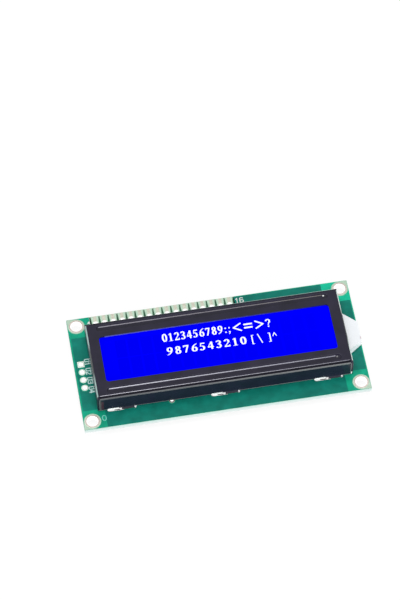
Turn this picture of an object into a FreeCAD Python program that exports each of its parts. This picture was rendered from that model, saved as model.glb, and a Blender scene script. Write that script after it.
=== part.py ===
"""Character LCD module: circuit board, folded metal bezel, display cell and side-lit backlight.

Millimetres, +Z up. The display faces up and the header row is on the +Y side. The origin is under
the centre of the board, on the surface that the six bezel lugs stand on.
"""
import FreeCAD
import Part
import Sketcher
import os

from math import atan2
from FreeCAD import Placement, Rotation, Vector

os.makedirs("parts", exist_ok=True)
doc = FreeCAD.newDocument("character_lcd_module")

DIMENSIONS = {
    # Circuit board and its four mounting holes
    "board_length": 80.0,
    "board_width": 36.0,
    "board_thickness": 1.6,
    "plating": 0.05,
    "mount_inset": 2.5,
    "mount_hole": 3.1,
    "mount_ring": 4.1,
    # Row of sixteen header holes, counted from hole 1 on the left
    "header_count": 16,
    "header_pitch": 2.54,
    "header_start": 8.0,
    "header_inset": 2.5,
    "header_hole": 1.0,
    "header_pad_width": 1.9,
    # Short column of four backlight and supply holes at the left edge
    "side_count": 4,
    "side_inset": 2.0,
    "side_middle": -0.8,
    "side_pad": 1.9,
    # Folded bezel, placed by the strips of board left free round it
    "bezel_end_margin": 4.4,
    "bezel_near_margin": 5.25,
    "bezel_far_margin": 6.35,
    "sheet": 0.5,
    "bend_radius": 0.8,
    "wall_gap": 0.4,
    "corner_slit": 0.2,
    "window_overlap_x": 0.95,
    "window_overlap_y": 1.05,
    "window_corner": 0.8,
    "bead_overrun": 0.25,
    "bead_width": 1.5,
    "bead_depth": 0.45,
    "bead_side": 0.4,
    "bead_gap": 0.2,
    "bead_rim": 0.24,
    "bead_flat": 0.03,
    # Lugs through the board, each with a foot twisted under it
    "lug_inset": 6.7,
    "lug_width": 3.7,
    "lug_drop": 1.6,
    "lug_end_clearance": 0.3,
    "lug_side_clearance": 0.35,
    "foot_angle": 47.0,
    "foot_length": 3.8,
    "foot_radius": 0.5,
    "ground_pad_length": 7.0,
    "ground_pad_width": 2.1,
    "ground_pad_gap": 0.1,
    # Small plated holes beside the bezel's long walls
    "via_offset": 15.0,
    "via_hole": 0.9,
    "via_ring": 1.75,
    # Display cell and films, each stepped in from the piece that it fits
    "glass_thickness": 1.1,
    "glass_clearance_x": 0.4,
    "glass_clearance_y": 0.5,
    "rear_glass_step": 1.2,
    "seal_thickness": 0.1,
    "seal_line": 1.0,
    "seal_inset": 0.3,
    "strip_width": 1.8,
    "strip_clearance": 0.35,
    "strip_end_gap": 3.25,
    "film_thickness": 0.2,
    "film_step_x": 0.3,
    "film_step_y": 0.1,
    # Backlight, from the board upwards
    "reflector_thickness": 0.15,
    "guide_thickness": 3.1,
    "guide_step": 0.4,
    "guide_shoulder": 0.9,
    "guide_tip_inset": 0.1,
    "guide_tip_width": 6.4,
    "guide_tip_skin": 0.35,
    "guide_clearance": 0.3,
    "diffuser_thickness": 0.3,
    # Backlight lamp in the guide's tip
    "lamp_length": 1.4,
    "lamp_width": 3.6,
    "lamp_height": 1.7,
    "lamp_middle": -0.45,
    "lamp_chamfer": 0.25,
    "lamp_clearance": 0.05,
    "lead_pitch": 2.54,
    "lead_diameter": 0.5,
    "lead_length": 1.0,
    "lead_hole": 0.8,
    "lead_pad": 1.5,
    "solder_top": 0.35,
    "solder_height": 0.8,
    # Epoxy domes over the two bare chips, on the back
    "controller_inset": 26.5,
    "controller_y": -1.2,
    "controller_diameter": 14.0,
    "controller_gap": 0.2,
    "controller_die": 4.6,
    "driver_inset": 27.0,
    "driver_y": -1.4,
    "driver_diameter": 9.2,
    "driver_gap": 0.45,
    "driver_die": 2.8,
    "dome_shoulder": 0.6,
    "die_thickness": 0.4,
    # Chip resistors on the back
    "chip_length": 2.0,
    "chip_width": 1.25,
    "chip_height": 0.5,
    "chip_cap": 0.4,
    "chip_step": 0.03,
    "chip_pad_reach": 1.5,
    "chip_pad_width": 1.35,
    "chip_solder_height": 0.32,
    "ladder_count": 5,
    "ladder_inset": 6.7,
    "ladder_pitch": 1.95,
    "clock_inset": 11.5,
    "clock_drop": 6.4,
    "clock_pitch": 3.7,
    "lamp_resistor_inset": 5.6,
    "lamp_resistor_y": -0.95,
}

sheet = doc.addObject("Spreadsheet::Sheet", "Dims")
for row, (alias, number) in enumerate(DIMENSIONS.items(), start=1):
    sheet.set(f"A{row}", alias)
    sheet.set(f"B{row}", str(number))
    sheet.setAlias(f"B{row}", alias)
doc.recompute()

# Levels, from the resting surface upwards
BOARD_BACK = "Dims.lug_drop"
BOARD_FRONT = f"({BOARD_BACK} + Dims.board_thickness)"
GUIDE_FLOOR = f"({BOARD_FRONT} + Dims.reflector_thickness)"
DIFFUSER_FLOOR = f"({GUIDE_FLOOR} + Dims.guide_thickness)"
REAR_FILM_FLOOR = f"({DIFFUSER_FLOOR} + Dims.diffuser_thickness)"
REAR_GLASS_FLOOR = f"({REAR_FILM_FLOOR} + Dims.film_thickness)"
SEAL_FLOOR = f"({REAR_GLASS_FLOOR} + Dims.glass_thickness)"
FRONT_GLASS_FLOOR = f"({SEAL_FLOOR} + Dims.seal_thickness)"
FRONT_GLASS_TOP = f"({FRONT_GLASS_FLOOR} + Dims.glass_thickness)"
BEZEL_CEILING = f"({FRONT_GLASS_TOP} + Dims.bead_depth)"
BEZEL_TOP = f"({BEZEL_CEILING} + Dims.sheet)"
WALL_FOOT = f"({BOARD_FRONT} + Dims.wall_gap)"
PAD_FACE = f"({BOARD_BACK} - Dims.plating)"
LAMP_FLOOR = f"({BOARD_FRONT} + Dims.plating)"
LAMP_CEILING = f"({LAMP_FLOOR} + Dims.lamp_height + Dims.lamp_clearance)"

# Half sizes in plan, shared by pieces that fit each other
BOARD_X = "Dims.board_length / 2"
BOARD_Y = "Dims.board_width / 2"
BEZEL_X = f"({BOARD_X} - Dims.bezel_end_margin)"
BEZEL_Y = f"({BOARD_Y} - (Dims.bezel_near_margin + Dims.bezel_far_margin) / 2)"
FRONT_GLASS_X = f"({BEZEL_X} - Dims.sheet - Dims.glass_clearance_x)"
FRONT_GLASS_Y = f"({BEZEL_Y} - Dims.sheet - Dims.glass_clearance_y)"
INNER_BEND = "(Dims.bend_radius - Dims.sheet)"
RIDGE_REACH = "(Dims.bead_width / 2 + Dims.bead_side)"
BEAD_LINE = f"({BEZEL_Y} - Dims.sheet - {INNER_BEND} - Dims.bead_gap - {RIDGE_REACH})"
REAR_GLASS_X = f"({FRONT_GLASS_X} - Dims.rear_glass_step)"
REAR_GLASS_Y = f"({BEAD_LINE} - Dims.strip_width / 2 - Dims.strip_clearance)"
GUIDE_X = REAR_GLASS_X
GUIDE_Y = f"({REAR_GLASS_Y} - Dims.guide_step)"
FILM_X = f"({GUIDE_X} - Dims.film_step_x)"
FILM_Y = f"({GUIDE_Y} - Dims.film_step_y)"
WINDOW_X = f"({FILM_X} - Dims.window_overlap_x)"
WINDOW_Y = f"({FILM_Y} - Dims.window_overlap_y)"
STRIP_X = f"({WINDOW_X} - Dims.strip_end_gap)"
BEAD_X = f"({WINDOW_X} + Dims.bead_overrun)"

# Lines in plan that several pieces are placed by
BEZEL_MIDDLE = "((Dims.bezel_near_margin - Dims.bezel_far_margin) / 2)"
WALL_LINE = f"({BEZEL_Y} - Dims.sheet / 2)"
LUG_PITCH = f"({BEZEL_X} - Dims.lug_inset)"
LUG_COLUMNS = (f"-{LUG_PITCH}", "0", LUG_PITCH)
SLOT_LENGTH = "2 * (Dims.lug_width + Dims.lug_end_clearance)"
SLOT_WIDTH = "(Dims.sheet + 2 * Dims.lug_side_clearance)"
HEADER_ROW = f"({BOARD_Y} - Dims.header_inset)"
GUIDE_TIP = f"({BOARD_X} - Dims.guide_tip_inset)"
GUIDE_TAPER = f"({GUIDE_X} - Dims.guide_shoulder)"
LEAD_COLUMN = f"({GUIDE_TIP} - Dims.lamp_length / 2)"
SIDES = (-1, 1)


def value(expression):
    """Present value of an expression over the sheet's cells."""
    return float(sheet.evalExpression(expression))


def point(x, y):
    """Sketch point at two expressions."""
    return Vector(value(x), value(y), 0)


def place(sketch, shape_index, vertex, x, y):
    """Tie one vertex of a sketch shape to two expressions."""
    for kind, expression in (("DistanceX", x), ("DistanceY", y)):
        constraint = Sketcher.Constraint(kind, -1, 1, shape_index, vertex, value(expression))
        index = sketch.addConstraint(constraint)
        sketch.setExpression(f"Constraints[{index}]", expression)


def set_radius(sketch, shape_index, expression):
    """Tie the radius of a circle or arc to an expression."""
    index = sketch.addConstraint(Sketcher.Constraint("Radius", shape_index, value(expression)))
    sketch.setExpression(f"Constraints[{index}]", expression)


def add_circle(sketch, x, y, radius):
    """Circle with its centre and radius tied to expressions."""
    circle = Part.Circle(point(x, y), Vector(0, 0, 1), value(radius))
    index = sketch.addGeometry(circle)
    place(sketch, index, 3, x, y)
    set_radius(sketch, index, radius)


def add_outline(sketch, corners, arcs=None):
    """Closed outline through corners; arcs maps a corner's number to the arc that leaves it.

    An arc is (centre x, centre y, radius, whether it runs clockwise).
    """
    arcs = arcs or {}
    count = len(corners)
    edges = []
    for number, corner in enumerate(corners):
        start = point(*corner)
        end = point(*corners[(number + 1) % count])
        if number not in arcs:
            index = sketch.addGeometry(Part.LineSegment(start, end))
            edges.append((index, 1, 2))
            continue
        centre_x, centre_y, radius, clockwise = arcs[number]
        centre = point(centre_x, centre_y)
        first, last = (end, start) if clockwise else (start, end)
        circle = Part.Circle(centre, Vector(0, 0, 1), value(radius))
        angles = [atan2(p.y - centre.y, p.x - centre.x) for p in (first, last)]
        index = sketch.addGeometry(Part.ArcOfCircle(circle, *angles))
        edges.append((index, 2, 1) if clockwise else (index, 1, 2))
        set_radius(sketch, index, radius)
    for number, corner in enumerate(corners):
        index, start, _ = edges[number]
        before, _, end = edges[number - 1]
        sketch.addConstraint(Sketcher.Constraint("Coincident", before, end, index, start))
        place(sketch, index, start, *corner)


def add_rectangle(sketch, x, y, length, width):
    """Rectangle about a centre."""
    low_x, high_x = f"{x} - ({length}) / 2", f"{x} + ({length}) / 2"
    low_y, high_y = f"{y} - ({width}) / 2", f"{y} + ({width}) / 2"
    add_outline(sketch, [(low_x, low_y), (high_x, low_y), (high_x, high_y), (low_x, high_y)])


def add_rounded_rectangle(sketch, x, y, radius):
    """Rectangle about the origin with rounded corners, from its half sizes."""
    inner_x, inner_y = f"({x} - {radius})", f"({y} - {radius})"
    corners = [
        (f"-{inner_x}", f"-{y}"), (inner_x, f"-{y}"), (x, f"-{inner_y}"), (x, inner_y),
        (inner_x, y), (f"-{inner_x}", y), (f"-{x}", inner_y), (f"-{x}", f"-{inner_y}"),
    ]
    arcs = {
        1: (inner_x, f"-{inner_y}", radius, False),
        3: (inner_x, inner_y, radius, False),
        5: (f"-{inner_x}", inner_y, radius, False),
        7: (f"-{inner_x}", f"-{inner_y}", radius, False),
    }
    add_outline(sketch, corners, arcs)


def add_obround(sketch, x, y, length, width):
    """Slot outline along X: two lines tangent to two end arcs."""
    radius = f"({width}) / 2"
    reach = f"(({length}) - ({width})) / 2"
    left, right = point(f"{x} - {reach}", y), point(f"{x} + {reach}", y)
    rise = Vector(0, value(radius), 0)
    quarter = atan2(1, 0)
    shapes = [
        Part.ArcOfCircle(Part.Circle(left, Vector(0, 0, 1), rise.y), quarter, 3 * quarter),
        Part.LineSegment(left - rise, right - rise),
        Part.ArcOfCircle(Part.Circle(right, Vector(0, 0, 1), rise.y), -quarter, quarter),
        Part.LineSegment(right + rise, left + rise),
    ]
    indices = [sketch.addGeometry(shape) for shape in shapes]
    for number, index in enumerate(indices):
        following = indices[(number + 1) % 4]
        sketch.addConstraint(Sketcher.Constraint("Tangent", index, 2, following, 1))
    sketch.addConstraint(Sketcher.Constraint("Equal", indices[0], indices[2]))
    place(sketch, indices[0], 3, f"{x} - {reach}", y)
    place(sketch, indices[2], 3, f"{x} + {reach}", y)
    set_radius(sketch, indices[0], radius)


def add_edge_pad(sketch, x):
    """Header pad: straight sides in from the board's edge and a round inner end."""
    half = "Dims.header_pad_width / 2"
    edge = BOARD_Y
    centre = point(x, HEADER_ROW)
    top_left, top_right = point(f"{x} - {half}", edge), point(f"{x} + {half}", edge)
    side = Vector(value(half), 0, 0)
    turn = atan2(0, -1)
    shapes = [
        Part.LineSegment(top_left, centre - side),
        Part.ArcOfCircle(Part.Circle(centre, Vector(0, 0, 1), side.x), turn, 2 * turn),
        Part.LineSegment(centre + side, top_right),
        Part.LineSegment(top_right, top_left),
    ]
    left, end, right, top = [sketch.addGeometry(shape) for shape in shapes]
    sketch.addConstraint(Sketcher.Constraint("Tangent", left, 2, end, 1))
    sketch.addConstraint(Sketcher.Constraint("Tangent", end, 2, right, 1))
    sketch.addConstraint(Sketcher.Constraint("Coincident", right, 2, top, 1))
    sketch.addConstraint(Sketcher.Constraint("Coincident", top, 2, left, 1))
    sketch.addConstraint(Sketcher.Constraint("Vertical", left))
    place(sketch, left, 1, f"{x} - {half}", edge)
    place(sketch, right, 2, f"{x} + {half}", edge)
    place(sketch, end, 3, x, HEADER_ROW)


def move_to(item, x, y, z):
    """Tie an object's place to three expressions."""
    for axis, expression in (("x", x), ("y", y), ("z", z)):
        item.setExpression(f"Placement.Base.{axis}", expression)


def new_body(name, x="0", y="0", z="0"):
    """Empty body with its origin at a place."""
    body = doc.addObject("PartDesign::Body", name)
    body.Label = name
    body.AllowCompound = True
    move_to(body, x, y, z)
    return body


def new_sketch(body, name, level, role="XY_Plane"):
    """Sketch parallel to one of the body's origin planes, at a level along its normal."""
    plane = next(item for item in body.Origin.OriginFeatures if item.Role == role)
    sketch = body.newObject("Sketcher::SketchObject", f"{body.Name}_{name}_sketch")
    sketch.AttachmentSupport = [(plane, "")]
    sketch.MapMode = "FlatFace"
    sketch.setExpression("AttachmentOffset.Base.z", level)
    return sketch


def finish_feature(body, feature):
    """Recompute and make the feature the body's result."""
    body.Tip = feature
    doc.recompute()
    return feature


def pad(body, sketch, name, length, downwards=False):
    """Pad a sketch along its normal, or against it."""
    feature = body.newObject("PartDesign::Pad", f"{body.Name}_{name}")
    feature.Profile = sketch
    feature.setExpression("Length", length)
    feature.Reversed = downwards
    sketch.Visibility = False
    return finish_feature(body, feature)


def pocket(body, sketch, name, length, upwards=False, midplane=False):
    """Cut a sketch against its normal, along it or both ways, and check that it cut something."""
    before = body.Shape.Volume
    feature = body.newObject("PartDesign::Pocket", f"{body.Name}_{name}")
    feature.Profile = sketch
    feature.setExpression("Length", length)
    feature.Reversed = upwards
    feature.Midplane = midplane
    finish_feature(body, feature)
    if feature.Shape.Volume >= before:
        raise RuntimeError(f"{feature.Name} cut nothing")
    return feature


def round_edges(body, name, radius, chosen, kind="PartDesign::Fillet"):
    """Fillet or chamfer the edges of the body's present shape that chosen(edge) accepts."""
    base = body.Tip
    names = [f"Edge{n}" for n, edge in enumerate(base.Shape.Edges, start=1) if chosen(edge)]
    if not names:
        raise RuntimeError(f"no edge for {name}")
    feature = body.newObject(kind, f"{body.Name}_{name}")
    feature.Base = (base, names)
    feature.setExpression("Radius" if kind.endswith("Fillet") else "Size", radius)
    return finish_feature(body, feature)


def near(number, target):
    """Same place within a micrometre."""
    return abs(number - target) < 1e-3


def at_level(edge, level):
    """True for an edge that lies flat at a level."""
    box = edge.BoundBox
    return near(box.ZMin, value(level)) and near(box.ZMax, value(level))


def new_box(name, length, width, height, x, y, floor):
    """Plate about a centre, standing on a level."""
    box = doc.addObject("Part::Box", name)
    box.Label = name
    for property_name, expression in (("Length", length), ("Width", width), ("Height", height)):
        box.setExpression(property_name, expression)
    move_to(box, f"({x}) - ({length}) / 2", f"({y}) - ({width}) / 2", floor)
    return box


def new_cylinder(name, diameter, height, x, y, floor):
    """Upright cylinder standing on a level."""
    cylinder = doc.addObject("Part::Cylinder", name)
    cylinder.Label = name
    cylinder.setExpression("Radius", f"({diameter}) / 2")
    cylinder.setExpression("Height", height)
    move_to(cylinder, x, y, floor)
    return cylinder


def new_cut(name, base, tool):
    """Base with the tool taken away."""
    cut = doc.addObject("Part::Cut", name)
    cut.Label = name
    cut.Base = base
    cut.Tool = tool
    return cut


def new_group(name, pieces):
    """Like pieces kept as separate solids of one sub-part."""
    group = doc.addObject("Part::Compound", name)
    group.Label = name
    group.Links = pieces
    return group


# Places of the holes that go through the board
MOUNT_HOLES = [(f"{i} * ({BOARD_X} - Dims.mount_inset)", f"{j} * ({BOARD_Y} - Dims.mount_inset)")
               for i in SIDES for j in SIDES]
HEADER_HOLES = [(f"-{BOARD_X} + Dims.header_start + {n} * Dims.header_pitch", HEADER_ROW)
                for n in range(int(value("Dims.header_count")))]
SIDE_HOLES = [(f"-{BOARD_X} + Dims.side_inset",
               f"Dims.side_middle + ((Dims.side_count - 1) / 2 - {n}) * Dims.header_pitch")
              for n in range(int(value("Dims.side_count")))]
LEAD_HOLES = [(LEAD_COLUMN, f"Dims.lamp_middle + {i} * Dims.lead_pitch / 2") for i in SIDES]
VIA_HOLES = [(f"{i} * Dims.via_offset", f"{BEZEL_MIDDLE} + {i} * {WALL_LINE}") for i in SIDES]


def build_board():
    """Bare board with every hole that goes through it."""
    body = new_body("pcb")
    outline = new_sketch(body, "outline", BOARD_BACK)
    add_rectangle(outline, "0", "0", "Dims.board_length", "Dims.board_width")
    pad(body, outline, "blank", "Dims.board_thickness")
    holes = (
        ("mount", MOUNT_HOLES, "Dims.mount_hole"),
        ("header", HEADER_HOLES, "Dims.header_hole"),
        ("side", SIDE_HOLES, "Dims.header_hole"),
        ("lead", LEAD_HOLES, "Dims.lead_hole"),
        ("via", VIA_HOLES, "Dims.via_hole"),
    )
    for name, centres, diameter in holes:
        sketch = new_sketch(body, name, BOARD_FRONT)
        for x, y in centres:
            add_circle(sketch, x, y, f"{diameter} / 2 + Dims.plating")
        pocket(body, sketch, f"{name}_holes", "Dims.board_thickness")
    slots = new_sketch(body, "slots", BOARD_FRONT)
    for x in LUG_COLUMNS:
        for side in SIDES:
            add_obround(slots, x, f"{BEZEL_MIDDLE} + {side} * {WALL_LINE}",
                        SLOT_LENGTH, SLOT_WIDTH)
    pocket(body, slots, "lug_slots", "Dims.board_thickness")
    return body


def build_plated_holes(name, centres, diameter, draw_pad):
    """Tinned pads on both faces of the board, joined by the plating inside each hole."""
    body = new_body(name)
    pads = new_sketch(body, "pads", PAD_FACE)
    for number, (x, y) in enumerate(centres):
        draw_pad(pads, number, x, y)
    pad(body, pads, "blank", "Dims.board_thickness + 2 * Dims.plating")
    board = new_sketch(body, "board", BOARD_BACK)
    add_rectangle(board, "0", "0", "2 * Dims.board_length", "2 * Dims.board_width")
    for x, y in centres:
        add_circle(board, x, y, f"{diameter} / 2 + Dims.plating")
    pocket(body, board, "board_gap", "Dims.board_thickness", upwards=True)
    drill = new_sketch(body, "drill", PAD_FACE)
    for x, y in centres:
        add_circle(drill, x, y, f"{diameter} / 2")
    pocket(body, drill, "bore", "Dims.board_thickness + 2 * Dims.plating", upwards=True)
    return body


def round_pad(diameter):
    """Pad drawer for round pads of one diameter."""
    def draw(sketch, number, x, y):
        add_circle(sketch, x, y, f"{diameter} / 2")
    return draw


def side_pad(sketch, number, x, y):
    """Square pad on the first hole, round pads on the others."""
    if number == 0:
        add_rectangle(sketch, x, y, "Dims.side_pad", "Dims.side_pad")
    else:
        add_circle(sketch, x, y, "Dims.side_pad / 2")


def header_pad(sketch, number, x, y):
    """Pad that runs in from the board's edge."""
    add_edge_pad(sketch, x)


def build_ground_pads():
    """Tinned pads on the back, beside the slots, that the lug feet bear on."""
    body = new_body("bezel_ground_pads", y=BEZEL_MIDDLE)
    sketch = new_sketch(body, "outline", PAD_FACE)
    inset = f"({SLOT_WIDTH} / 2 + Dims.ground_pad_gap + Dims.ground_pad_width / 2)"
    for x in LUG_COLUMNS:
        for side in SIDES:
            add_obround(sketch, x, f"{side} * ({WALL_LINE} - {inset})",
                        "Dims.ground_pad_length", "Dims.ground_pad_width")
    pad(body, sketch, "tin", "Dims.plating")
    return body


def add_foot(sketch, x):
    """Plan of one lug below the board: the neck, a bend and the foot that crosses the pad."""
    low, high = f"-{BEZEL_Y}", f"(-{BEZEL_Y} + Dims.sheet)"
    sine, cosine = "sin(Dims.foot_angle * 1deg)", "cos(Dims.foot_angle * 1deg)"
    centre_y = f"({high} + Dims.foot_radius)"
    outer = "(Dims.foot_radius + Dims.sheet)"
    outer_x, outer_y = f"({x} - {outer} * {sine})", f"({centre_y} - {outer} * {cosine})"
    inner_x = f"({x} - Dims.foot_radius * {sine})"
    inner_y = f"({centre_y} - Dims.foot_radius * {cosine})"
    along_x, along_y = f"Dims.foot_length * {cosine}", f"Dims.foot_length * {sine}"
    corners = [
        (f"{x} + Dims.lug_width", low), (x, low), (outer_x, outer_y),
        (f"{outer_x} - {along_x}", f"{outer_y} + {along_y}"),
        (f"{inner_x} - {along_x}", f"{inner_y} + {along_y}"), (inner_x, inner_y),
        (x, high), (f"{x} + Dims.lug_width", high),
    ]
    arcs = {1: (x, centre_y, outer, True), 5: (x, centre_y, "Dims.foot_radius", False)}
    add_outline(sketch, corners, arcs)


def build_lugs(body):
    """Three lugs on the -Y wall, and the same turned half round on the +Y wall."""
    necks = new_sketch(body, "necks", "0")
    feet = new_sketch(body, "feet", "0")
    for x in LUG_COLUMNS:
        add_rectangle(necks, f"{x} + Dims.lug_width / 2", f"-{WALL_LINE}",
                      "Dims.lug_width", "Dims.sheet")
        add_foot(feet, x)
    originals = [pad(body, necks, "necks", WALL_FOOT), pad(body, feet, "feet", PAD_FACE)]
    pattern = body.newObject("PartDesign::PolarPattern", f"{body.Name}_lugs")
    pattern.Originals = originals
    axis = next(item for item in body.Origin.OriginFeatures if item.Role == "Z_Axis")
    pattern.Axis = (axis, [""])
    pattern.Angle = 360
    pattern.Occurrences = len(SIDES)
    finish_feature(body, pattern)


def build_beads(body):
    """Two long grooves pressed into the top, which press the glass onto the contact strips."""
    grooves = new_sketch(body, "grooves", BEZEL_TOP)
    ridges = new_sketch(body, "ridges", BEZEL_CEILING)
    for side in SIDES:
        y = f"{side} * {BEAD_LINE}"
        add_obround(grooves, "0", y, f"2 * {BEAD_X}", "Dims.bead_width")
        add_obround(ridges, "0", y, f"2 * ({BEAD_X} + Dims.bead_side)", f"2 * {RIDGE_REACH}")
    pad(body, ridges, "ridges", "Dims.bead_depth", downwards=True)
    pocket(body, grooves, "grooves", "Dims.bead_depth")

    def on_bead(edge, level):
        middle = abs(edge.BoundBox.Center.y)
        beside = abs(middle - value(BEAD_LINE)) < value("Dims.bead_width")
        return at_level(edge, level) and beside and middle < value(f"{BEZEL_Y} - Dims.bend_radius")

    rim_radius = "Dims.bead_rim"
    floor_radius = f"Dims.bead_depth - {rim_radius} - Dims.bead_flat"
    groove_floor = f"{BEZEL_TOP} - Dims.bead_depth"
    round_edges(body, "groove_rim", rim_radius, lambda edge: on_bead(edge, BEZEL_TOP))
    round_edges(body, "groove_floor", floor_radius, lambda edge: on_bead(edge, groove_floor))
    round_edges(body, "ridge_crest", rim_radius, lambda edge: on_bead(edge, FRONT_GLASS_TOP))


def build_bezel():
    """Bezel folded from one sheet: window, pressed beads, four walls, lamp opening and lugs."""
    body = new_body("bezel", y=BEZEL_MIDDLE)
    outline = new_sketch(body, "outline", WALL_FOOT)
    add_rectangle(outline, "0", "0", f"2 * {BEZEL_X}", f"2 * {BEZEL_Y}")
    pad(body, outline, "blank", f"{BEZEL_TOP} - {WALL_FOOT}")
    round_edges(body, "outer_bend", "Dims.bend_radius", lambda edge: at_level(edge, BEZEL_TOP))
    inside = new_sketch(body, "inside", WALL_FOOT)
    add_rectangle(inside, "0", "0", f"2 * ({BEZEL_X} - Dims.sheet)",
                  f"2 * ({BEZEL_Y} - Dims.sheet)")
    pocket(body, inside, "inside", f"{BEZEL_CEILING} - {WALL_FOOT}", upwards=True)
    round_edges(body, "inner_bend", INNER_BEND, lambda edge: at_level(edge, BEZEL_CEILING))
    window = new_sketch(body, "window", BEZEL_TOP)
    add_rounded_rectangle(window, WINDOW_X, WINDOW_Y, "Dims.window_corner")
    pocket(body, window, "window", "Dims.sheet")
    build_beads(body)
    slits = new_sketch(body, "slits", WALL_FOOT)
    for i in SIDES:
        for j in SIDES:
            add_rectangle(slits, f"{i} * ({BEZEL_X} - Dims.sheet / 2)",
                          f"{j} * ({BEZEL_Y} - Dims.sheet - Dims.corner_slit / 2)",
                          "Dims.sheet", "Dims.corner_slit")
    pocket(body, slits, "corner_slits", f"{BEZEL_TOP} - Dims.bend_radius - {WALL_FOOT}",
           upwards=True)
    opening = new_sketch(body, "lamp_opening", BEZEL_X, "YZ_Plane")
    opening_height = f"({DIFFUSER_FLOOR} + Dims.guide_clearance - {WALL_FOOT})"
    add_rectangle(opening, "0", f"{WALL_FOOT} + {opening_height} / 2",
                  f"2 * ({guide_half_width(f'{BEZEL_X} - Dims.sheet')} + Dims.guide_clearance)",
                  opening_height)
    pocket(body, opening, "lamp_opening", "Dims.sheet")
    build_lugs(body)
    return body


def guide_half_width(x):
    """Half width of the light guide's tapered end at a place along X."""
    share = f"(({x}) - {GUIDE_TAPER}) / ({GUIDE_TIP} - {GUIDE_TAPER})"
    return f"({GUIDE_Y} - ({GUIDE_Y} - Dims.guide_tip_width / 2) * {share})"


def build_light_guide():
    """Light guide under the cell, tapering to a tip with a pocket that takes the lamp."""
    body = new_body("light_guide", y=BEZEL_MIDDLE)
    outline = new_sketch(body, "outline", GUIDE_FLOOR)
    tip = "Dims.guide_tip_width / 2"
    add_outline(outline, [
        (f"-{GUIDE_X}", f"-{GUIDE_Y}"), (GUIDE_TAPER, f"-{GUIDE_Y}"), (GUIDE_TIP, f"-{tip}"),
        (GUIDE_TIP, tip), (GUIDE_TAPER, GUIDE_Y), (f"-{GUIDE_X}", GUIDE_Y),
    ])
    pad(body, outline, "plate", "Dims.guide_thickness")
    ramp = new_sketch(body, "ramp", "0", "XZ_Plane")
    add_outline(ramp, [
        (BEZEL_X, DIFFUSER_FLOOR), (GUIDE_TIP, f"{LAMP_CEILING} + Dims.guide_tip_skin"),
        (GUIDE_TIP, DIFFUSER_FLOOR),
    ])
    pocket(body, ramp, "ramp", f"4 * {GUIDE_Y}", midplane=True)
    lamp_room = new_sketch(body, "lamp_room", LAMP_CEILING)
    add_rectangle(lamp_room, GUIDE_TIP, f"Dims.lamp_middle - {BEZEL_MIDDLE}",
                  "2 * (Dims.lamp_length + Dims.lamp_clearance)",
                  "Dims.lamp_width + 2 * Dims.lamp_clearance")
    pocket(body, lamp_room, "lamp_pocket", "Dims.guide_thickness")
    return body


def build_lamp():
    """Backlight lamp, its two leads through the board and their solder joints."""
    body = new_body("backlight_led", x=LEAD_COLUMN, y="Dims.lamp_middle")
    outline = new_sketch(body, "outline", LAMP_FLOOR)
    add_rectangle(outline, "0", "0", "Dims.lamp_length", "Dims.lamp_width")
    pad(body, outline, "case", "Dims.lamp_height")
    round_edges(body, "case_chamfer", "Dims.lamp_chamfer",
                lambda edge: at_level(edge, f"{LAMP_FLOOR} + Dims.lamp_height"),
                "PartDesign::Chamfer")
    leads, joints = [], []
    for number, (x, y) in enumerate(LEAD_HOLES, start=1):
        lead_floor = f"({BOARD_BACK} - Dims.lead_length)"
        lead_height = f"{LAMP_FLOOR} - {lead_floor}"
        leads.append(new_cylinder(f"lead_{number}", "Dims.lead_diameter", lead_height,
                                  x, y, lead_floor))
        cone = doc.addObject("Part::Cone", f"lead_cone_{number}")
        cone.setExpression("Radius1", "Dims.solder_top")
        cone.setExpression("Radius2", "Dims.lead_pad / 2 - Dims.plating")
        cone.setExpression("Height", "Dims.solder_height")
        move_to(cone, x, y, f"{PAD_FACE} - Dims.solder_height")
        joints.append(new_cut(f"lead_joint_{number}", cone,
                              new_cylinder(f"lead_space_{number}", "Dims.lead_diameter",
                                           lead_height, x, y, lead_floor)))
    return [body, new_group("led_leads", leads), new_group("led_solder", joints)]


def new_layer(name, half_length, half_width, thickness, floor):
    """Flat sheet centred in the bezel."""
    return new_box(name, f"2 * {half_length}", f"2 * {half_width}", thickness,
                   "0", BEZEL_MIDDLE, floor)


def build_stack():
    """Flat layers between the board and the bezel, from the bottom up."""
    layers = [
        new_layer("reflector_sheet", GUIDE_TAPER, GUIDE_Y,
                  "Dims.reflector_thickness", BOARD_FRONT),
        new_layer("diffuser_sheet", FILM_X, FILM_Y, "Dims.diffuser_thickness", DIFFUSER_FLOOR),
        new_layer("rear_polarizer", FILM_X, FILM_Y, "Dims.film_thickness", REAR_FILM_FLOOR),
        new_layer("rear_glass", REAR_GLASS_X, REAR_GLASS_Y, "Dims.glass_thickness",
                  REAR_GLASS_FLOOR),
        new_layer("front_glass", FRONT_GLASS_X, FRONT_GLASS_Y, "Dims.glass_thickness",
                  FRONT_GLASS_FLOOR),
        new_layer("front_polarizer", FILM_X, FILM_Y, "Dims.film_thickness", FRONT_GLASS_TOP),
    ]
    seal_x, seal_y = f"({REAR_GLASS_X} - Dims.seal_inset)", f"({REAR_GLASS_Y} - Dims.seal_inset)"
    outside = new_layer("seal_outside", seal_x, seal_y, "Dims.seal_thickness", SEAL_FLOOR)
    inside = new_layer("seal_inside", f"({seal_x} - Dims.seal_line)",
                       f"({seal_y} - Dims.seal_line)", "Dims.seal_thickness", SEAL_FLOOR)
    layers.append(new_cut("cell_seal", outside, inside))
    for name, side in (("near_contact_strip", -1), ("far_contact_strip", 1)):
        layers.append(new_box(name, f"2 * {STRIP_X}", "Dims.strip_width",
                              f"{FRONT_GLASS_FLOOR} - {BOARD_FRONT}", "0",
                              f"{BEZEL_MIDDLE} + {side} * {BEAD_LINE}", BOARD_FRONT))
    return layers


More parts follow.
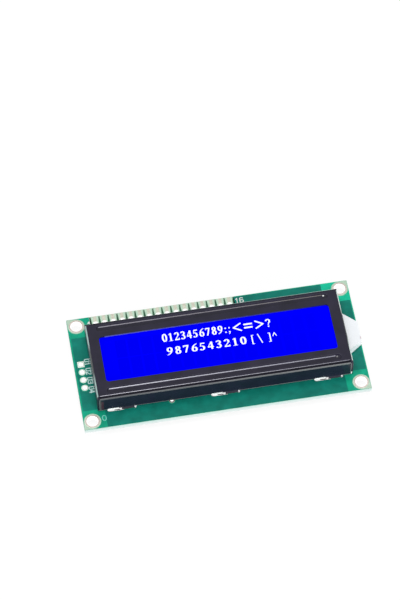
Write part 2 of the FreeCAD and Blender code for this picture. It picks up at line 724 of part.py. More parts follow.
def build_dome(name, x):
    """Epoxy dome over a bare chip: a flat cap running into a round shoulder, with the chip in it."""
    body = new_body(f"{name}_blob", x, f"Dims.{name}_y", BOARD_BACK)
    radius, shoulder = f"Dims.{name}_diameter / 2", "Dims.dome_shoulder"
    height = f"(Dims.lug_drop - Dims.{name}_gap)"
    inner = f"({radius} - {shoulder})"
    cap = f"(({inner}^2 + {height}^2 - {shoulder}^2) / (2 * ({height} - {shoulder})))"
    share = f"({cap} / ({cap} - {shoulder}))"
    rise = f"({cap} - {height})"
    profile = new_sketch(body, "profile", "0", "XZ_Plane")
    add_outline(profile, [
        ("0", f"-{height}"), (f"{inner} * {share}", f"{rise} * (1 - {share})"),
        (radius, "0"), ("0", "0"),
    ], {0: ("0", rise, cap, False), 1: (inner, "0", shoulder, False)})
    turn = body.newObject("PartDesign::Revolution", f"{name}_blob_turn")
    turn.Profile = profile
    turn.ReferenceAxis = (profile, ["V_Axis"])
    turn.Angle = 360
    finish_feature(body, turn)
    size = f"Dims.{name}_die"
    space = new_sketch(body, "die_space", "0")
    add_rectangle(space, "0", "0", size, size)
    pocket(body, space, "die_space", "Dims.die_thickness")
    die = new_box(f"{name}_die", size, size, "Dims.die_thickness", x, f"Dims.{name}_y",
                  f"{BOARD_BACK} - Dims.die_thickness")
    return [body, die]


def build_chip(name, x, y):
    """Chip resistor: ceramic body between two slightly larger end caps."""
    floor = f"{PAD_FACE} - Dims.chip_height"
    core = new_box(f"{name}_core", "Dims.chip_length - Dims.chip_cap",
                   "Dims.chip_width - 2 * Dims.chip_step",
                   "Dims.chip_height - 2 * Dims.chip_step", x, y, f"{floor} + Dims.chip_step")
    caps = []
    for number, side in enumerate(SIDES, start=1):
        offset = f"{x} + {side} * (Dims.chip_length - Dims.chip_cap) / 2"
        caps.append(new_box(f"{name}_cap_{number}", "Dims.chip_cap", "Dims.chip_width",
                            "Dims.chip_height", offset, y, floor))
    chip = doc.addObject("Part::MultiFuse", name)
    chip.Label = name
    chip.Shapes = [core, *caps]
    return chip


def build_joint(name, x, y, side):
    """Solder fillet between one end of a chip and its pad."""
    wedge = doc.addObject("Part::Wedge", name)
    reach = "(Dims.chip_pad_reach - Dims.chip_length / 2 - Dims.plating)"
    half = "Dims.chip_width / 2"
    for property_name, expression in (
            ("Xmin", "0"), ("Xmax", reach), ("Ymin", "0"), ("Ymax", "Dims.chip_solder_height"),
            ("Zmin", f"-{half}"), ("Zmax", half), ("X2min", "0"), ("X2max", "Dims.plating"),
            ("Z2min", f"-{half}"), ("Z2max", half)):
        wedge.setExpression(property_name, expression)
    upside_down = Rotation(Vector(1, 0, 0), -90)
    facing = Rotation(Vector(0, 0, 1), 0 if side > 0 else 180)
    wedge.Placement = Placement(Vector(0, 0, 0), facing.multiply(upside_down))
    move_to(wedge, f"{x} + {side} * Dims.chip_length / 2", y, PAD_FACE)
    return wedge


def build_chips():
    """All fitted chip resistors with their pads and solder."""
    ladder_x = f"-{BOARD_X} + Dims.ladder_inset"
    places = [(f"ladder_resistor_{n + 1}", ladder_x,
               f"((Dims.ladder_count - 1) / 2 - {n}) * Dims.ladder_pitch")
              for n in range(int(value("Dims.ladder_count")))]
    clock_x = f"-{BOARD_X} + Dims.clock_inset"
    clock_y = f"{BEZEL_MIDDLE} + {WALL_LINE} - Dims.clock_drop"
    places += [(f"clock_resistor_{n + 1}", clock_x, f"{clock_y} - {n} * Dims.clock_pitch")
               for n in range(2)]
    places.append(("lamp_resistor", f"{BOARD_X} - Dims.lamp_resistor_inset",
                   "Dims.lamp_resistor_y"))
    chips, pads, joints = [], [], []
    pad_start = "(Dims.chip_length / 2 - Dims.chip_cap)"
    for name, x, y in places:
        chips.append(build_chip(name, x, y))
        for number, side in enumerate(SIDES, start=1):
            centre = f"{x} + {side} * (Dims.chip_pad_reach + {pad_start}) / 2"
            pads.append(new_box(f"{name}_pad_{number}", f"Dims.chip_pad_reach - {pad_start}",
                                "Dims.chip_pad_width", "Dims.plating", centre, y, PAD_FACE))
            joints.append(build_joint(f"{name}_joint_{number}", x, y, side))
    return [*chips, new_group("resistor_pads", pads), new_group("resistor_solder", joints)]


sub_parts = [
    build_board(),
    build_plated_holes("mounting_rings", MOUNT_HOLES, "Dims.mount_hole",
                       round_pad("Dims.mount_ring")),
    build_plated_holes("header_pads", HEADER_HOLES, "Dims.header_hole", header_pad),
    build_plated_holes("side_pads", SIDE_HOLES, "Dims.header_hole", side_pad),
    build_plated_holes("led_pads", LEAD_HOLES, "Dims.lead_hole", round_pad("Dims.lead_pad")),
    build_plated_holes("via_rings", VIA_HOLES, "Dims.via_hole", round_pad("Dims.via_ring")),
    build_ground_pads(),
    build_bezel(),
    build_light_guide(),
    *build_lamp(),
    *build_stack(),
    *build_dome("controller", f"-{BOARD_X} + Dims.controller_inset"),
    *build_dome("driver", f"{BOARD_X} - Dims.driver_inset"),
    *build_chips(),
]
doc.recompute()

for item in doc.Objects:
    if "Invalid" in item.State or "Error" in item.State:
        raise RuntimeError(f"{item.Name} failed: {item.State}")
for sub_part in sub_parts:
    shape = sub_part.Shape
    if shape.isNull() or not shape.isValid() or not shape.Solids:
        raise RuntimeError(f"{sub_part.Label} has no valid solid")
    print(f"{sub_part.Label}: {len(shape.Solids)} solids, {shape.Volume:.3f} mm3")
for sub_part in sub_parts:
    sub_part.Shape.exportStep(os.path.join("parts", f"{sub_part.Label}.step"))
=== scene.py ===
import math

import bmesh
import bpy
from mathutils import Matrix, Vector, geometry, noise


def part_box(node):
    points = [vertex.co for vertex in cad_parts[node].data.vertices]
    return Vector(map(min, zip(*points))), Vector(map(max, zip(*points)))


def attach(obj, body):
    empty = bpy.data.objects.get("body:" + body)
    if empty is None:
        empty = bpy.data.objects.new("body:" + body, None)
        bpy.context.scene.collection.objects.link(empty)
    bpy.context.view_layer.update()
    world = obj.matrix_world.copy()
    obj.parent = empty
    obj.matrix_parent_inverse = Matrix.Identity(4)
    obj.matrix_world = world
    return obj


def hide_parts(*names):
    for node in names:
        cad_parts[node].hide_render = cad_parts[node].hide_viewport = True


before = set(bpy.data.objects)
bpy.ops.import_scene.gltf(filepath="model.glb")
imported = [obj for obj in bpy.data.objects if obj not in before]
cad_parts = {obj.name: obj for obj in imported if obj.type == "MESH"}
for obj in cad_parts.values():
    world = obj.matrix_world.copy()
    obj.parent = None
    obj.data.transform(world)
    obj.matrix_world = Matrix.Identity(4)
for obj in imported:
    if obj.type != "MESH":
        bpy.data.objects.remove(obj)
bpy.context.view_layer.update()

# Lengths are in millimetres up to the point where a mesh is made.
MM = 0.001


def box_mm(node):
    """Lowest and highest corner of a CAD node in millimetres."""
    low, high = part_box(node)
    return low / MM, high / MM


BOARD_LOW, BOARD_HIGH = box_mm("pcb")
BACK = BOARD_LOW.z
FRONT = BOARD_HIGH.z
FILM_TOP = box_mm("front_polarizer")[1].z
BEZEL_LOW, BEZEL_HIGH = box_mm("bezel")

# How far each printed, etched or tinned layer stands off the board
ETCH = 0.025
OPENING = 0.012
INK = 0.04
TIN = 0.05
GLYPH = 0.03

# The bezel's bend, the foot of its walls, its two pressed beads and its window's far edge
BEND_RADIUS = 0.8
WALL_FOOT = FRONT + 0.4
BEAD_LINES = (-10.6, 9.5)
BEAD_FLANK = 0.75
BEAD_FLOOR = BEZEL_HIGH.z - 0.45
BEAD_REACH = 31.9
BEAD_FILLET = 0.18
WINDOW_FAR = 6.7

# Thickness of the skins that carry painted highlights and reflections on the bezel
SKIN = 0.006

# The header row, the middles of the gaps beside its pads, and the start of the strip without copper
HEADER_PITCH = 2.54
HEADER_COUNT = 16
HEADER_FIRST = box_mm("header_pads")[0].x + 0.95
HEADER_X = [HEADER_FIRST + HEADER_PITCH * i for i in range(HEADER_COUNT)]
GAP_X = [HEADER_FIRST + HEADER_PITCH * (i - 0.5) for i in range(HEADER_COUNT + 1)]
HEADER_Y = BOARD_HIGH.y - 2.5
HEADER_FOOT = 13.6

# The side column, the mounting holes, the lug slots, the small plated holes and the lamp's pads
SIDE_COLUMN = [(-38.0, 3.01 - HEADER_PITCH * i) for i in range(4)]
MOUNT_X = 37.5
MOUNT_Y = 15.5
LUG_X = (-28.9, 0.0, 28.9)
SLOTS = [(x, y) for x in LUG_X for y in (-12.5, 11.4)]
SLOT_REACH = 3.4
VIAS = ((-15.0, -12.5), (15.0, 11.4))
LAMP_PADS = ((39.2, 0.82), (39.2, -1.72))


# ---- Flat outlines

def circle(x, y, radius, sides=32):
    return [(x + radius * math.cos(math.tau * i / sides),
             y + radius * math.sin(math.tau * i / sides)) for i in range(sides)]


def rectangle(left, low, right, high):
    return [(left, low), (right, low), (right, high), (left, high)]


def arc(x, y, radius_x, radius_y, start, end, steps=12):
    """Points on an ellipse between two angles in degrees."""
    return [(x + radius_x * math.cos(math.radians(start + (end - start) * i / steps)),
             y + radius_y * math.sin(math.radians(start + (end - start) * i / steps)))
            for i in range(steps + 1)]


def rounded(left, low, right, high, radius, steps=4):
    points = []
    corners = ((right - radius, low + radius, -90), (right - radius, high - radius, 0),
               (left + radius, high - radius, 90), (left + radius, low + radius, 180))
    for x, y, start in corners:
        points += arc(x, y, radius, radius, start, start + 90, steps)
    return points


def pad(x, y, half_width, half_height, radius):
    """A rectangle with round corners, about its middle."""
    return rounded(x - half_width, y - half_height, x + half_width, y + half_height, radius)


def capsule(start, end, width, sides=6):
    """The outline of a line with round ends."""
    turn = math.degrees(math.atan2(end[1] - start[1], end[0] - start[0]))
    half = width / 2
    return (arc(end[0], end[1], half, half, turn - 90, turn + 90, sides)
            + arc(start[0], start[1], half, half, turn + 90, turn + 270, sides))


def stroke(path, width):
    """One outline for each run of a path."""
    return [capsule(a, b, width) for a, b in zip(path, path[1:])]


def frame_lines(left, low, right, high, width):
    """The four lines of a printed box."""
    corners = rectangle(left, low, right, high)
    return stroke(corners + corners[:1], width)


def moved(points, x, y, scale=1.0, turn=0.0):
    c, s = math.cos(math.radians(turn)) * scale, math.sin(math.radians(turn)) * scale
    return [(x + c * px - s * py, y + s * px + c * py) for px, py in points]


# Plain numbers, drawn as a plotter would: runs of x, y, x, y ... in hundredths of the height
DIGIT_WIDTH = 0.6
DIGIT_STEP = 0.86
DIGITS = {
    "0": [(12, 0, 48, 0, 60, 14, 60, 86, 48, 100, 12, 100, 0, 86, 0, 14, 12, 0)],
    "1": [(10, 78, 32, 100, 32, 0)],
    "2": [(0, 86, 12, 100, 48, 100, 60, 86, 60, 62, 0, 0, 60, 0)],
    "3": [(0, 88, 12, 100, 48, 100, 60, 88, 60, 66, 46, 54, 22, 54),
          (46, 54, 60, 40, 60, 12, 48, 0, 12, 0, 0, 12)],
    "4": [(46, 0, 46, 100, 0, 30, 62, 30)],
    "5": [(56, 100, 4, 100, 2, 56, 46, 58, 60, 44, 60, 12, 46, 0, 12, 0, 0, 10)],
    "6": [(56, 90, 46, 100, 14, 100, 0, 86, 0, 12, 12, 0, 48, 0, 60, 12, 60, 42, 48, 54, 12, 54,
           0, 44)],
    "7": [(0, 100, 60, 100, 22, 0)],
    "8": [(14, 54, 0, 66, 0, 88, 12, 100, 48, 100, 60, 88, 60, 66, 46, 54, 14, 54, 0, 40, 0, 12,
           12, 0, 48, 0, 60, 12, 60, 40, 46, 54)],
    "9": [(4, 10, 14, 0, 46, 0, 60, 14, 60, 88, 48, 100, 12, 100, 0, 88, 0, 58, 12, 46, 48, 46,
           60, 56)],
}


def number(text, x, y, height, width, turn=0.0):
    """The strokes of a printed number whose middle is at x, y."""
    total = (DIGIT_STEP * (len(text) - 1) + DIGIT_WIDTH) / 2
    shapes = []
    for i, digit in enumerate(text):
        for run in DIGITS[digit]:
            shifted = [(px / 100 + DIGIT_STEP * i - total, py / 100 - 0.5)
                       for px, py in zip(run[::2], run[1::2])]
            shapes += stroke(moved(shifted, x, y, height, turn), width)
    return shapes


# ---- Meshes

def anticlockwise(outline):
    area = sum(a[0] * b[1] - b[0] * a[1] for a, b in zip(outline, outline[1:] + outline[:1]))
    return outline if area > 0 else outline[::-1]


def join_flat(solids, holes=()):
    """Points and triangles of what the solid outlines cover and the holes leave."""
    points, faces = [], []
    for outline in list(solids) + list(holes):
        first = len(points)
        points += [Vector(p) for p in anticlockwise(outline)]
        faces.append(list(range(first, len(points))))
    flat, _, triangles, _, _, sources = geometry.delaunay_2d_cdt(points, [], faces, 1, 1e-5)
    limit = len(solids)
    kept = [face for face, origins in zip(triangles, sources)
            if any(i < limit for i in origins) and not any(i >= limit for i in origins)]
    return flat, kept


def add_layer(mesh, solids, low, high, holes=(), material=0):
    """Adds the joined flat outlines to a mesh as one raised layer."""
    points, faces = join_flat(solids, holes)
    levels = []
    for z in (low, high):
        levels.append({i: mesh.verts.new((points[i].x * MM, points[i].y * MM, z * MM))
                       for face in faces for i in face})
    lower, upper = levels
    made = []
    sides = set()
    for face in faces:
        made.append(mesh.faces.new([upper[i] for i in face]))
        made.append(mesh.faces.new([lower[i] for i in reversed(face)]))
        sides.update(zip(face, face[1:] + face[:1]))
    for a, b in sides:
        if (b, a) not in sides:
            made.append(mesh.faces.new((upper[a], lower[a], lower[b], upper[b])))
    for face in made:
        face.material_index = material
    bmesh.ops.dissolve_limit(mesh, angle_limit=math.radians(0.5),
                             verts=list({v for f in made for v in f.verts}),
                             edges=list({e for f in made for e in f.edges}),
                             delimit={"MATERIAL"})


def new_object(name, mesh, materials):
    """Makes an object of a mesh and its materials."""
    data = bpy.data.meshes.new(name)
    mesh.to_mesh(data)
    mesh.free()
    for material in materials:
        data.materials.append(material)
    made = bpy.data.objects.new(name, data)
    bpy.context.scene.collection.objects.link(made)
    return made


def new_piece(name, mesh, materials, mirror=False):
    """Puts a mesh on the module as a piece. A mirrored one is drawn as seen from behind."""
    if mirror:
        bmesh.ops.scale(mesh, vec=(-1, 1, 1), verts=mesh.verts)
    bmesh.ops.recalc_face_normals(mesh, faces=mesh.faces)
    piece = new_object(name, mesh, materials)
    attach(piece, "root")
    return piece


# ---- Materials

def add_node(tree, kind, inputs, output=0, **settings):
    """Adds a shader node, sets or links its inputs, and gives one of its outputs."""
    node = tree.nodes.new("ShaderNode" + kind)
    for name, value in settings.items():
        setattr(node, name, value)
    for socket, value in inputs.items():
        if isinstance(value, bpy.types.NodeSocket):
            tree.links.new(value, node.inputs[socket])
        else:
            node.inputs[socket].default_value = value
    return node.outputs[output]


class Shader:
    """A material under construction, with short ways to add nodes to its shader."""

    def __init__(self, name, color, roughness, **sockets):
        self.material = bpy.data.materials.new(name)
        self.material.use_nodes = True
        self.tree = self.material.node_tree
        self.surface = self.tree.nodes["Principled BSDF"].inputs
        self.place = self.node("TexCoord", {}, "Object")
        self.height = None
        for socket, value in {"Base Color": (*color, 1), "Roughness": roughness, **sockets}.items():
            self.surface[socket.replace("_", " ")].default_value = value

    def node(self, kind, inputs, output=0, **settings):
        return add_node(self.tree, kind, inputs, output, **settings)

    def stretch(self, x, y, z):
        """Coordinates scaled along each axis, for grain."""
        return self.node("Mapping", {"Vector": self.place, "Scale": (x, y, z)})

    def noise(self, size, detail=3.0, place=None):
        """Noise whose features are about size millimetres across."""
        return self.node("TexNoise", {"Vector": place or self.place, "Scale": 1 / (size * MM),
                                      "Detail": detail}, "Fac")

    def math(self, kind, *values):
        return self.node("Math", dict(enumerate(values)), operation=kind)

    def ramp(self, value, low, high):
        """Stretches the span low to high of a value to 0 to 1."""
        return self.node("MapRange", {"Value": value, "From Min": low, "From Max": high})

    def mix(self, share, *colors):
        """A colour between two colours or colour outputs."""
        first, second = [(*c, 1) if isinstance(c, tuple) else c for c in colors]
        return self.node("Mix", {0: share, 6: first, 7: second}, 2, data_type="RGBA")

    def between(self, share, first, second):
        """A number between two numbers."""
        return self.math("ADD", self.math("MULTIPLY", share, second - first), first)

    def facing(self):
        """How far the surface faces up: 1 on top, 0 on a wall, -1 underneath."""
        return self.node("SeparateXYZ", {0: self.node("NewGeometry", {}, "Normal")}, 2)

    def millimetres(self):
        """The place along X, Y and Z, in millimetres."""
        return [self.math("MULTIPLY", self.node("SeparateXYZ", {0: self.place}, i), 1 / MM)
                for i in range(3)]

    def link(self, output, socket):
        self.tree.links.new(output, self.surface[socket])

    def color(self, output):
        self.link(output, "Base Color")

    def rough(self, share, low, high):
        """Roughness between two numbers."""
        self.link(self.between(share, low, high), "Roughness")

    def glow(self, strength, color=(1, 1, 1)):
        """Light given off, in one colour."""
        self.surface["Emission Color"].default_value = (*color, 1)
        self.link(strength, "Emission Strength")

    def bump(self, value, depth, strength=1.0):
        """Raises the surface by up to depth millimetres, on top of earlier bumps."""
        inputs = {"Height": value, "Distance": depth * MM, "Strength": strength}
        if self.height:
            inputs["Normal"] = self.height
        self.height = self.node("Bump", inputs)
        self.link(self.height, "Normal")


BARE_GREEN = (0.008, 0.48, 0.29)
POUR_GREEN = (0.005, 0.205, 0.155)
FINGER_GREEN = (0.06, 0.17, 0.095)
BACK_GREEN = (0.016, 0.185, 0.128)
TRACE_GREEN = (0.024, 0.235, 0.160)
# Painted light: white tin for the walls of holes, round the header pads' holes and at the mounting
# rings' hole edges
PAINTED_LIGHT_TIN = (0.97, 0.96, 0.95)
# Painted reflection of the green board along the sides of the header pads
PAD_SIDE_REFLECTION = (0.50, 0.70, 0.55)
# Painted light: the whitened walls of the slots
SLOT_WALL_PAINTED_LIGHT = (0.93, 0.95, 0.93)
MILK = (0.92, 0.95, 0.98)
# Dark and light streaks of the board's sawn edges, at their lower and upper side; the lower side is
# whitened as painted light
SAWN_LOW_PAINTED_LIGHT = ((0.82, 0.91, 0.90), (0.94, 0.96, 0.96))
SAWN_HIGH = ((0.53, 0.77, 0.71), (0.68, 0.87, 0.82))
# Painted light in the walls of holes and slots: how strongly they glow, standing in for the light
# that the white table sends up
PAINTED_HOLE_GLOW = 0.4
PAINTED_SLOT_GLOW = 0.45


def mottle(shader, color, change=0.16, size=2.6):
    """Light and dark clouds in a colour, as in a thin layer of resin."""
    light = tuple(c * (1 + change) for c in color)
    dark = tuple(c * (1 - change) for c in color)
    return shader.mix(shader.ramp(shader.noise(size), 0.3, 0.7), dark, light)


def graded(shader, color, near, far):
    """A clouded colour, multiplied by near at the board's near edge and by far at its far edge: a
    painted light gradient where these differ.
    """
    ends = [mottle(shader, tuple(c * factor for c in color)) for factor in (near, far)]
    return shader.mix(shader.ramp(shader.millimetres()[1], BOARD_LOW.y, BOARD_HIGH.y), *ends)


def weave(shader, pitch=0.42):
    """The faint squares of the glass cloth under the resin."""
    waves = [shader.math("SINE", shader.math("MULTIPLY", place, math.tau / pitch))
             for place in shader.millimetres()[:2]]
    return shader.ramp(shader.math("MULTIPLY", *waves), -1.0, 1.0)


def distance(shader, a, b):
    """The length of the flat vector a, b."""
    squares = [shader.math("MULTIPLY", value, value) for value in (a, b)]
    return shader.math("SQRT", shader.math("ADD", *squares))


def make_mask(name, color, near=1.0, far=1.0):
    """Green solder mask over copper; near and far grade its colour as painted light."""
    shader = Shader(name, color, 0.3, Specular_IOR_Level=0.12)
    shader.color(graded(shader, color, near, far))
    shader.rough(shader.noise(0.8), 0.24, 0.42)
    shader.bump(shader.noise(0.35), 0.006)
    return shader.material


def make_board():
    """Masked faces, the front one brightest in its far right corner by painted light, and pale
    walls and edges, with painted light whitening the sawn edges' lower side and the slot walls.
    """
    shader = Shader("board_laminate", BARE_GREEN, 0.3, Specular_IOR_Level=0.12)
    up = shader.facing()
    x, y, z = shader.millimetres()
    # Painted light: the front face is darker towards its near edge and its left end, and brightest
    # in its far right corner
    ends = [graded(shader, BARE_GREEN, 0.75, far) for far in (0.9, 1.35)]
    front = shader.mix(shader.ramp(x, BOARD_LOW.x, BOARD_HIGH.x), *ends)
    face = shader.mix(shader.math("GREATER_THAN", up, 0.0), mottle(shader, BACK_GREEN), front)
    layers = shader.noise(0.12, 2.0, shader.stretch(0.12, 0.12, 1.4))
    streaks = shader.ramp(layers, 0.35, 0.65)
    # Painted light: the sawn edges turn whiter towards their lower side
    sawn = shader.mix(shader.ramp(z, BACK, FRONT),
                      shader.mix(streaks, *SAWN_LOW_PAINTED_LIGHT), shader.mix(streaks, *SAWN_HIGH))
    in_slot = shader.math("MULTIPLY", *[
        shader.math("LESS_THAN", shader.math("ABSOLUTE", place), edge - 1)
        for place, edge in ((x, BOARD_HIGH.x), (y, BOARD_HIGH.y))])
    flat = shader.math("GREATER_THAN", shader.math("ABSOLUTE", up), 0.7)
    # Painted light: the slot walls are whitened and glow
    shader.color(shader.mix(flat, shader.mix(in_slot, sawn, SLOT_WALL_PAINTED_LIGHT), face))
    shader.glow(shader.math("MULTIPLY", in_slot, shader.between(flat, PAINTED_SLOT_GLOW, 0.0)))
    shader.rough(flat, 0.75, 0.34)
    shader.bump(weave(shader), 0.004)
    shader.bump(layers, 0.01, 0.5)
    return shader.material


def make_tin(name, color=(0.66, 0.62, 0.57), metallic=0.75, tint=None):
    """Hot-levelled tin: soft grey and a little wavy, with painted light where it lines a hole:
    there it is whitened and glows.
    """
    shader = Shader(name, color, 0.35, Metallic=metallic)
    dull = tuple(c * 0.82 for c in color)
    face = shader.mix(shader.ramp(shader.noise(0.5), 0.35, 0.65), dull, color)
    if tint:
        face = tint(shader, face)
    in_hole = shader.math("LESS_THAN", shader.math("ABSOLUTE", shader.facing()), 0.5)
    # Painted light: where the tin lines a hole it is whitened and glows
    shader.color(shader.mix(in_hole, face, PAINTED_LIGHT_TIN))
    shader.glow(shader.math("MULTIPLY", in_hole, PAINTED_HOLE_GLOW))
    shader.rough(shader.noise(0.3), 0.24, 0.5)
    shader.bump(shader.noise(0.7, 1.0), 0.03, 0.6)
    return shader.material


def pad_tint(shader, face):
    """The header pads: a painted mint reflection of the board along their sides, and a painted
    white highlight on the solder round their holes.
    """
    x, y, _ = shader.millimetres()
    steps = shader.math("DIVIDE", shader.math("SUBTRACT", x, HEADER_FIRST), HEADER_PITCH)
    turns = shader.math("FRACT", shader.math("ADD", steps, HEADER_COUNT + 0.5))
    aside = shader.math("MULTIPLY", shader.math("SUBTRACT", turns, 0.5), HEADER_PITCH)
    # Painted reflection of the green board along the pad's sides
    face = shader.mix(shader.ramp(shader.math("ABSOLUTE", aside), 0.25, 0.75), face, PAD_SIDE_REFLECTION)
    from_hole = distance(shader, aside, shader.math("SUBTRACT", y, HEADER_Y))
    # Painted highlight round the hole
    return shader.mix(shader.ramp(from_hole, 0.9, 0.7), face, PAINTED_LIGHT_TIN)


def ring_tint(shader, face):
    """The mounting rings: whitened round the hole as painted light."""
    x, y, _ = shader.millimetres()
    aside = shader.math("SUBTRACT", shader.math("ABSOLUTE", x), MOUNT_X)
    along = shader.math("SUBTRACT", shader.math("ABSOLUTE", y), MOUNT_Y)
    return shader.mix(shader.ramp(distance(shader, aside, along), 1.7, 1.6), face, PAINTED_LIGHT_TIN)


def make_paint():
    """Black baked enamel on the bezel, with a fine pebble and dull patches."""
    shader = Shader("bezel_enamel", (0.013, 0.011, 0.028), 0.2, Specular_IOR_Level=0.28)
    cloud = shader.ramp(shader.noise(5.0), 0.3, 0.7)
    shader.color(shader.mix(cloud, (0.010, 0.009, 0.022), (0.016, 0.0135, 0.034)))
    shader.rough(cloud, 0.16, 0.24)
    shader.bump(shader.noise(0.16, 2.0), 0.002, 0.5)
    shader.bump(shader.noise(2.4, 1.0), 0.006, 0.5)
    return shader.material


def make_rubbed(name, left, right):
    """Painted highlights and reflections, each in one colour at the left end of the module and
    another at the right end.
    """
    shader = Shader(name, left, 0.35, Metallic=0.2)
    along = shader.ramp(shader.millimetres()[0], -32, 32)
    uneven = shader.math("ADD", along, shader.between(shader.noise(3.0), -0.18, 0.18))
    shader.color(shader.mix(uneven, left, right))
    shader.rough(shader.noise(0.5), 0.25, 0.45)
    return shader.material


def make_end_edge(name, pale):
    """The bend at one end of the bezel: a painted highlight, pale towards the corners, dull in
    between.
    """
    shader = Shader(name, pale, 0.4)
    away = shader.math("ABSOLUTE", shader.math("ADD", shader.millimetres()[1], 1.0))
    uneven = shader.math("ADD", away, shader.between(shader.noise(2.0), -0.8, 0.8))
    shader.color(shader.mix(shader.ramp(uneven, 3.5, 6.5), (0.055, 0.065, 0.065), pale))
    shader.rough(shader.noise(0.5), 0.3, 0.5)
    return shader.material


# Character cells of the display, along a line and across the lines: pitch, size and number
CELLS = (3.55, 2.95, 16)
LINES = (5.95, 5.55, 2)
DISPLAY_Y = -0.55
LIT_BLUE = (0.0, 0.0, 0.785)


def make_display():
    """The lit blue film: a little stronger near the lamp, with the faintest cell pattern."""
    shader = Shader("display_blue", (0.0, 0.0, 0.22), 0.4, Specular_IOR_Level=0.0)
    x, y, _ = shader.millimetres()

    def inside(value, pitch, width, count):
        """1 in the cells of a row that is centred on 0."""
        turns = shader.math("FRACT", shader.math("ADD", shader.math("DIVIDE", value, pitch), count))
        middle = shader.math("ABSOLUTE", shader.math("SUBTRACT", turns, 0.5))
        in_cell = shader.math("LESS_THAN", middle, width / pitch / 2)
        in_row = shader.math("LESS_THAN", shader.math("ABSOLUTE", value), pitch * count / 2)
        return shader.math("MULTIPLY", in_cell, in_row)

    down = inside(shader.math("SUBTRACT", y, DISPLAY_Y), *LINES)
    cell = shader.math("MULTIPLY", inside(x, *CELLS), down)
    near_lamp = shader.ramp(x, -34.0, 34.0)
    level = shader.math("ADD", shader.between(near_lamp, 0.96, 1.04),
                        shader.between(cell, 0.0, -0.035))
    level = shader.math("ADD", level, shader.between(shader.noise(7.0), -0.02, 0.02))
    shader.glow(level, LIT_BLUE)
    shader.color(shader.mix(cell, (0.0, 0.0, 0.24), (0.0, 0.0, 0.2)))
    shader.bump(shader.noise(0.12, 2.0), 0.002, 0.5)
    return shader.material


def make_plastic(name, color, roughness, grain, depth, change=0.08, **sockets):
    """A moulded or cast material with clouds in its colour and a grain of that size."""
    shader = Shader(name, color, roughness, **sockets)
    shader.color(mottle(shader, color, change, grain * 8))
    shader.rough(shader.noise(grain * 3), roughness * 0.8, roughness * 1.2)
    shader.bump(shader.noise(grain), depth)
    return shader.material


def make_glass():
    """The glass of the display cell, faintly green."""
    clear = (0.80, 0.88, 0.84)
    shader = Shader("cell_glass", clear, 0.06, IOR=1.52, Transmission_Weight=0.9)
    shader.color(mottle(shader, clear, 0.05, 6.0))
    shader.rough(shader.noise(2.0), 0.042, 0.096)
    return shader.material


def make_milky():
    """The milky light guide, with a rosy mark at the near end of its tip."""
    shader = Shader("milky_acrylic", MILK, 0.32, Emission_Color=(0.9, 0.95, 1.0, 1.0),
                    Emission_Strength=0.12)
    x, y, _ = shader.millimetres()
    across = shader.math("MULTIPLY", shader.math("SUBTRACT", x, 39.9), 2.0)
    mark = shader.ramp(distance(shader, across, shader.math("SUBTRACT", y, -2.7)), 0.7, 0.35)
    shader.color(shader.mix(mark, mottle(shader, MILK, 0.02, 2.0), (0.58, 0.44, 0.46)))
    shader.rough(shader.noise(0.75), 0.256, 0.384)
    shader.bump(shader.noise(0.25), 0.004)
    return shader.material


def make_strip():
    """The zebra strip: pink silicone with a row of fine carbon layers down its middle."""
    shader = Shader("zebra_rubber", (0.7, 0.36, 0.34), 0.6)
    wave = shader.node("TexWave", {"Vector": shader.place, "Scale": 1 / (0.9 * MM),
                                   "Distortion": 0.4}, "Fac")
    layers = shader.ramp(wave, 0.45, 0.55)
    shader.color(shader.mix(layers, (0.72, 0.4, 0.38), (0.5, 0.25, 0.24)))
    shader.bump(shader.noise(0.2), 0.01)
    return shader.material


def make_epoxy():
    """Black encapsulant: glossy, with a soft ripple and fine dust."""
    black = (0.012, 0.012, 0.016)
    shader = Shader("dome_epoxy", black, 0.3, Coat_Weight=0.25, Coat_Roughness=0.12)
    shader.color(mottle(shader, black, 0.25, 3.0))
    shader.rough(shader.noise(1.2), 0.22, 0.42)
    shader.bump(shader.noise(1.4, 1.0), 0.02, 0.5)
    shader.bump(shader.noise(0.12, 2.0), 0.004, 0.5)
    return shader.material


# Painted light: the mask over copper brightens towards the board's far edge
POUR = make_mask("mask_over_copper", POUR_GREEN, 0.97, 1.22)
TRACE = make_mask("mask_over_tracks", TRACE_GREEN)
DARK_WEDGES = make_mask("dark_between_pads", FINGER_GREEN)
TINNED = make_tin("levelled_tin")
